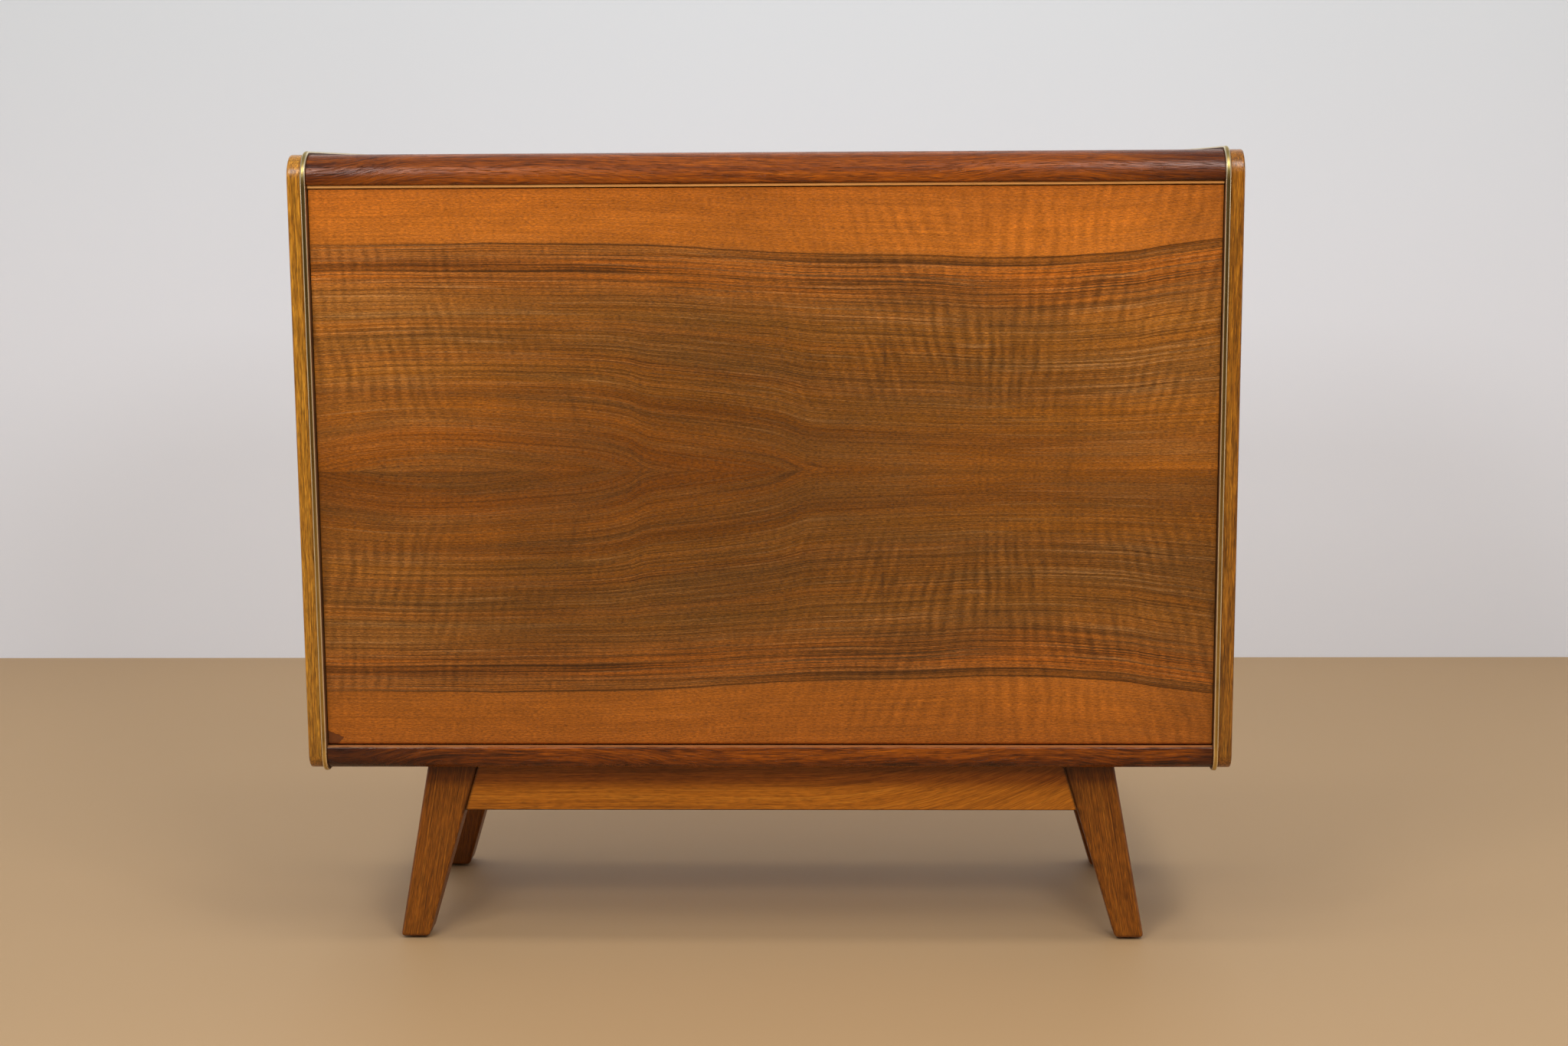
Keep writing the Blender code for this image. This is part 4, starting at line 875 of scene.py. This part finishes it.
def frame_shade_and_grime(shade):
    """Painted shade: under the body, at the legs (with some grime) and along its lower edge."""
    under_body = shade.z.step(*down_from(APRON_HIGH.z, APRON_SHADOW), 1.0, 0.50)
    joint = (leg_inner_edge(shade) - shade.x.abs()).step(*APRON_END, 0.30, 1.0)
    rim = shade.z.step(*up_from(APRON_LOW.z, APRON_RIM), 0.40, 1.0)
    return under_body * joint * rim


def leg_shade_and_grime(shade):
    """Painted shade under the body and, with some grime, on the inner edge beside the apron."""
    under_body = shade.z.step(*down_from(APRON_HIGH.z, LEG_SHADOW), 1.0, 0.50)
    beside = (shade.x.abs() - leg_inner_edge(shade)).step(*LEG_EDGE, 0.45, 1.0)
    return under_body * beside.most(shade.z.step(*down_from(APRON_LOW.z, LEG_FREE)))


OAK = {
    "ring": 150, "streak": 0.65, "fleck": 0.32, "stripe": 0.30, "spread": 0.055, "wander": 0.003,
    "roughness": 0.34, "coat": 0.4, "shaded": cheek_painted_shade,
}
MAPLE_COLOURS = ((186, 144, 96), (212, 172, 122), (226, 190, 144))
MAPLE = {
    "ring": 45, "streak": 0.5, "pores": 0.15, "wander": 0.012, "roughness": 0.45, "coat": 0.1,
}
LEG_COLOURS = ((84, 42, 5), (128, 69, 12), (160, 96, 24))
LEG = {
    "ring": 190, "streak": 0.8, "spread": 0.085, "shimmer": 0.24, "roughness": 0.40, "coat": 0.0,
    "shaded": leg_shade_and_grime,
}
MATERIALS = {
    "figure": walnut_figure(),
    "top": wood(
        "walnut_top", (98, 60, 34), (140, 86, 44), (176, 108, 52), along_x, across_yz,
        ring=34, streak=0.5, wander=0.02, roughness=0.34, coat=0.3,
    ),
    "top_rail": rosewood("rosewood_top_rail", 0.35, 0.35, 0.65),
    "bottom_rail": rosewood(
        "rosewood_bottom_rail", 0.10, 0.85, 0.0, highlit_top=BOTTOM_RAIL_TOP,
    ),
    "cheek_left": wood(
        "oak_cheek_left", (126, 76, 16), (168, 110, 26), (192, 134, 42), along_z, across_xy, **OAK
    ),
    "cheek_right": wood(
        "oak_cheek_right", (108, 60, 10), (148, 90, 18), (172, 112, 30), along_z, across_xy, **OAK
    ),
    "lipping": wood(
        "pale_lipping", (180, 112, 52), (214, 148, 78), (228, 168, 98), along_x, across_yz,
        ring=90, streak=0.6, pores=0.25,
    ),
    "inside": wood("maple_inside", *MAPLE_COLOURS, along_z, across_xy, **MAPLE),
    "shelf": wood("maple_shelf", *MAPLE_COLOURS, along_x, across_yz, **MAPLE),
    "floor_board": wood(
        "bottom_ply", (166, 122, 78), (192, 150, 104), (206, 168, 124), along_x, across_yz,
        ring=40, streak=0.45, pores=0.2, roughness=0.55, coat=0.0, wander=0.02,
    ),
    "back": wood(
        "back_ply", (150, 108, 66), (178, 134, 86), (194, 152, 104), along_x, across_yz,
        ring=26, streak=0.45, pores=0.25, roughness=0.58, coat=0.0, wander=0.03,
    ),
    "leg_left": wood(
        "leg_left", *LEG_COLOURS, along_z, across_leg(-1), wander=0.004, mottle=0.15, **LEG
    ),
    "leg_right": wood(
        "leg_right", *LEG_COLOURS, along_z, across_leg(1), wander=0.012, mottle=0.55, **LEG
    ),
    "apron": wood(
        "apron", (136, 74, 12), (180, 104, 20), (202, 126, 34), along_x, rising_to_right,
        ring=90, streak=0.6, roughness=0.38, coat=0.1, wander=0.012, shimmer=0.12,
        shaded=frame_shade_and_grime,
    ),
    "bead": brass("bead_brass", 0.18, 0.25, rubbed=0.20, middle=BEAD_MIDDLE),
    # painted shade: the bead's flanks in a dark brown
    "bead_shaded_flank": plastic("bead_shaded_flank", (84, 52, 24), 0.6),
    "brass": brass("fitting_brass", 0.28, 0.3),
    "steel": metal("zinc_steel", (168, 168, 164), 0.34),
    "black": plastic("black_plastic", (26, 26, 27), 0.48),
    "laminate": laminate(),
    "mirror": silvering(),
    "glass": clear_glass(),
}

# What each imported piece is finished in, by the start of its name, and how far its sharp edges are
# softened. The longest start that fits a name counts.
FINISH = {
    "side_panel_left": ("cheek_left", 0.0),
    "side_panel_right": ("cheek_right", 0.0),
    "top_board": ("top", BOARD_ARRIS),
    "bottom_board": ("floor_board", BOARD_ARRIS),
    "back_panel": ("back", 0.0),
    "top_nosing": ("top_rail", 0.0),
    "bottom_nosing": ("bottom_rail", 0.0),
    "top_lipping": ("lipping", TRIM_ARRIS),
    "inner_side": ("inside", BOARD_ARRIS),
    "partition": ("inside", BOARD_ARRIS),
    "flap_panel": ("figure", 0.0),
    "flap_lining": ("laminate", 0.0),
    "pivot": ("brass", 0.0),
    "stay": ("brass", STAY_ARRIS),
    "latch_housing": ("black", 0.0),
    "latch": ("steel", 0.0),
    "mirror_panel": ("mirror", 0.0),
    "glass_shelf_peg": ("brass", 0.0),
    "wood_shelf_peg": ("brass", 0.0),
    "glass_shelf": ("glass", 0.0),
    "wood_shelf": ("shelf", 0.0),
    "front_apron": ("apron", TRIM_ARRIS),
    "rear_apron": ("apron", TRIM_ARRIS),
    "side_apron": ("apron", 0.0),
    "leg_front_left": ("leg_left", 0.0),
    "leg_rear_left": ("leg_left", 0.0),
    "leg_front_right": ("leg_right", 0.0),
    "leg_rear_right": ("leg_right", 0.0),
    "glide": ("black", TRIM_ARRIS),
    "frame_screw": ("steel", 0.0),
}


def finish_of(node):
    return FINISH[max((stem for stem in FINISH if node.startswith(stem)), key=len)]


def add_mesh(name, shape, material):
    """Makes an object from a bmesh, which is used up."""
    mesh = bpy.data.meshes.new(name)
    shape.to_mesh(mesh)
    shape.free()
    mesh.materials.append(material)
    made = bpy.data.objects.new(name, mesh)
    bpy.context.scene.collection.objects.link(made)
    return made


def new_piece(name, shape, material, node):
    """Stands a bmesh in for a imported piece, with smooth faces between its sharp edges."""
    for face in shape.faces:
        face.smooth = True
    piece = add_mesh(name, shape, material)
    piece.data.set_sharp_from_angle(angle=SHARP)
    weighted = piece.modifiers.new("Even", "WEIGHTED_NORMAL")
    weighted.keep_sharp = True
    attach(piece, NODES[node]["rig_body"])
    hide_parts(node)
    return piece


def dress(node):
    """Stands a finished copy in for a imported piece: joined faces, soft edges, its material."""
    material, arris = finish_of(node)
    shape = bmesh.new()
    shape.from_mesh(NODES[node].data)
    bmesh.ops.remove_doubles(shape, verts=shape.verts, dist=MERGE_DISTANCE)
    bmesh.ops.dissolve_limit(shape, angle_limit=FLAT, verts=shape.verts, edges=shape.edges)
    if arris:
        edges = [
            edge for edge in shape.edges
            if edge.is_manifold and edge.calc_face_angle() > SHARP
            and edge.calc_length() > arris * SHORTEST_EDGE
        ]
        bmesh.ops.bevel(
            shape, geom=edges, offset=arris, segments=ARRIS_STEPS, profile=0.5, affect="EDGES",
            clamp_overlap=True,
        )
    new_piece(node + "_finished", shape, MATERIALS[material], node)


def arc(centre, radius, start, end, steps):
    """Points and outward directions round a centre, from +Y towards +Z."""
    found = []
    for step in range(steps + 1):
        angle = start + (end - start) * step / steps
        away = Vector((math.cos(angle), math.sin(angle)))
        found.append((centre + radius * away, away))
    return found


def front_path(end_y, steps):
    """The body's outline with outward directions, under the body, up the front and over the top."""
    top_centre = Vector((
        FRONT_FOOT_Y + TOP_CORNER_RADIUS / math.cos(FRONT_LEAN)
        - (HEIGHT - TOP_CORNER_RADIUS - BODY_BASE) * math.tan(FRONT_LEAN),
        HEIGHT - TOP_CORNER_RADIUS,
    ))
    bottom_centre = Vector((
        FRONT_FOOT_Y + BOTTOM_CORNER_RADIUS / math.cos(FRONT_LEAN)
        - BOTTOM_CORNER_RADIUS * math.tan(FRONT_LEAN),
        BODY_BASE + BOTTOM_CORNER_RADIUS,
    ))
    front = math.pi + FRONT_LEAN
    path = [(Vector((end_y, BODY_BASE)), Vector((0.0, -1.0)))]
    path += arc(bottom_centre, BOTTOM_CORNER_RADIUS, 3 * math.pi / 2, front, steps)
    path += arc(top_centre, TOP_CORNER_RADIUS, front, math.pi / 2, steps)
    path += [(Vector((end_y, HEIGHT)), Vector((0.0, 1.0)))]
    return path


def bead_section(half):
    """The bead's outline, as (across, out): a stem, two rounded edges and a crowned face."""
    edge_middle = half - BEAD_EDGE_RADIUS
    edge_height = BEAD_PROUD - BEAD_CROWN - BEAD_EDGE_RADIUS
    edge = []
    for step in range(BEAD_EDGE_STEPS + 1):
        angle = math.pi / 2 * step / BEAD_EDGE_STEPS
        edge.append((
            edge_middle + BEAD_EDGE_RADIUS * math.cos(angle),
            edge_height + BEAD_EDGE_RADIUS * math.sin(angle),
        ))
    left_half = [(-half, -BEAD_STEM)] + [(-across, out) for across, out in edge]
    right_half = edge[::-1] + [(half, -BEAD_STEM)]
    return left_half + [(0.0, BEAD_PROUD)] + right_half


def make_bead(side):
    """The brass bead, swept round the front, with rounded edges beside a slightly crowned face."""
    node = "side_bead_" + side
    low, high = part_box(node)
    middle = (high.x + low.x) / 2
    section = bead_section((high.x - low.x) / 2)
    count = len(section)
    flanks = (0, count - 2, count - 1)
    shape = bmesh.new()
    rows = []
    for point, away in front_path(high.y, CORNER_STEPS):
        row = []
        for across, out in section:
            place = point + away * out
            row.append(shape.verts.new((middle + across, place.x, place.y)))
        rows.append(row)
    for first, second in zip(rows, rows[1:]):
        for at in range(count):
            after = (at + 1) % count
            face = shape.faces.new((first[at], first[after], second[after], second[at]))
            face.material_index = int(at in flanks)
    shape.faces.new(rows[0][::-1])
    shape.faces.new(rows[-1])
    bmesh.ops.recalc_face_normals(shape, faces=shape.faces)
    bead = new_piece("bead_" + side, shape, MATERIALS["bead"], node)
    # the flanks take the dark brown of painted shade
    bead.data.materials.append(MATERIALS["bead_shaded_flank"])


for side in ("left", "right"):
    make_bead(side)
for node in sorted(NODES):
    if not node.startswith("side_bead"):
        dress(node)

STAGE_REACH = 9.0
WALL_Y = 1.50
WALL_HEIGHT = 4.0
WALL_FADE = (0.45, 1.35)  # the wall goes from its lower colour to its upper one between these


def plain(name, roughness, colour, high_colour=None, one_sided=False):
    """A nearly even colour for the stage. one_sided is clear from behind, to let the back show."""
    shade = Shade(name, roughness=roughness)
    if high_colour:
        colour = shade.mix(shade.z.step(*WALL_FADE), colour, high_colour)
    material = shade.done(shade.lit(colour, shade.cloud(0.8).step(0.2, 0.8, 0.98, 1.02)))
    if one_sided:
        nodes, links = shade.tree.nodes, shade.tree.links
        side = nodes.new("ShaderNodeNewGeometry")
        clear = nodes.new("ShaderNodeBsdfTransparent")
        choose = nodes.new("ShaderNodeMixShader")
        links.new(side.outputs["Backfacing"], choose.inputs[0])
        links.new(shade.shader.outputs[0], choose.inputs[1])
        links.new(clear.outputs[0], choose.inputs[2])
        links.new(choose.outputs[0], nodes["Material Output"].inputs["Surface"])
    return material


def stage_face(name, corners, material):
    """One flat face of the stage."""
    shape = bmesh.new()
    shape.faces.new([shape.verts.new(corner) for corner in corners])
    made = add_mesh(name, shape, material)


stage_face(
    "floor",
    [(-STAGE_REACH, -STAGE_REACH, 0), (STAGE_REACH, -STAGE_REACH, 0),
     (STAGE_REACH, STAGE_REACH, 0), (-STAGE_REACH, STAGE_REACH, 0)],
    plain("floor_pale", 0.6, (182, 149, 108)),
)
stage_face(
    "wall",
    [(-STAGE_REACH, WALL_Y, 0), (STAGE_REACH, WALL_Y, 0),
     (STAGE_REACH, WALL_Y, WALL_HEIGHT), (-STAGE_REACH, WALL_Y, WALL_HEIGHT)],
    plain("wall_pale", 0.8, (240, 243, 250), (229, 235, 240), one_sided=True),
)

# Lamps: name, place, what it points at, width, height, watts, and if reflections show it
LAMPS = [
    ("key_left", (-0.62, -2.15, 1.50), (0.0, -0.2, 0.55), 0.50, 0.40, 14.5, False),
    ("key_right", (0.62, -2.15, 1.50), (0.0, -0.2, 0.55), 0.50, 0.40, 14.5, False),
    ("lamp_left", (-0.93, -1.85, 2.19), (-0.4, -0.2, 0.6), 0.40, 0.80, 12, True),
    ("lamp_right", (0.76, -1.51, 2.30), (0.4, -0.2, 0.6), 0.40, 0.80, 12, True),
    ("fill_left", (-3.6, -0.3, 1.05), (0.0, 0.0, 0.5), 1.8, 2.0, 16, True),
    ("fill_right", (3.6, -0.3, 1.05), (0.0, 0.0, 0.5), 1.8, 2.0, 16, True),
    ("wall_wash", (0.0, -0.9, 3.3), (0.0, 1.5, 1.2), 3.2, 0.6, 27, False),
    ("back_top", (0.0, 0.95, 2.9), (0.0, 0.3, 0.2), 3.0, 0.5, 12, False),
]
for name, place, aim, width, height, watts, glossy in LAMPS:
    light = bpy.data.lights.new(name, "AREA")
    light.shape = "RECTANGLE"
    light.size = width
    light.size_y = height
    light.energy = watts
    lamp = bpy.data.objects.new(name, light)
    lamp.location = place
    lamp.rotation_euler = (Vector(aim) - Vector(place)).to_track_quat("-Z", "Y").to_euler()
    lamp.visible_camera = False
    lamp.visible_glossy = glossy
    bpy.context.scene.collection.objects.link(lamp)

# A dim sky, brighter from the horizon upwards
SKY_COLOUR = (0.93, 0.96, 1.0, 1.0)
SKY_RANGE = {"From Min": 0.0, "From Max": 0.8, "To Min": 0.08, "To Max": 0.36}
world = bpy.data.worlds.new("studio")
bpy.context.scene.world = world
world.use_nodes = True
sky, wires = world.node_tree.nodes, world.node_tree.links
sky_place = sky.new("ShaderNodeTexCoord")
sky_parts = sky.new("ShaderNodeSeparateXYZ")
sky_height = sky.new("ShaderNodeMapRange")
for socket, value in SKY_RANGE.items():
    sky_height.inputs[socket].default_value = value
wires.new(sky_place.outputs["Generated"], sky_parts.inputs[0])
wires.new(sky_parts.outputs["Z"], sky_height.inputs["Value"])
wires.new(sky_height.outputs[0], sky["Background"].inputs["Strength"])
sky["Background"].inputs["Color"].default_value = SKY_COLOUR
bpy.context.scene.view_settings.view_transform = "Standard"

ahead = Vector((
    math.sin(CAMERA_YAW) * math.cos(CAMERA_PITCH),
    math.cos(CAMERA_YAW) * math.cos(CAMERA_PITCH),
    -math.sin(CAMERA_PITCH),
))
level_right = Vector((math.cos(CAMERA_YAW), -math.sin(CAMERA_YAW), 0.0))
level_up = level_right.cross(ahead)
right = level_right * math.cos(CAMERA_ROLL) + level_up * math.sin(CAMERA_ROLL)
up = level_up * math.cos(CAMERA_ROLL) - level_right * math.sin(CAMERA_ROLL)
camera_data = bpy.data.cameras.new("camera")
camera_data.sensor_width = SENSOR_WIDTH
camera_data.lens = SENSOR_WIDTH * FOCAL_PIXELS / PHOTO_WIDTH
camera = bpy.data.objects.new("camera", camera_data)
turn = Matrix((right, up, -ahead)).transposed().to_4x4()
camera.matrix_world = Matrix.Translation(CAMERA_PLACE) @ turn
bpy.context.scene.collection.objects.link(camera)
bpy.context.scene.camera = camera
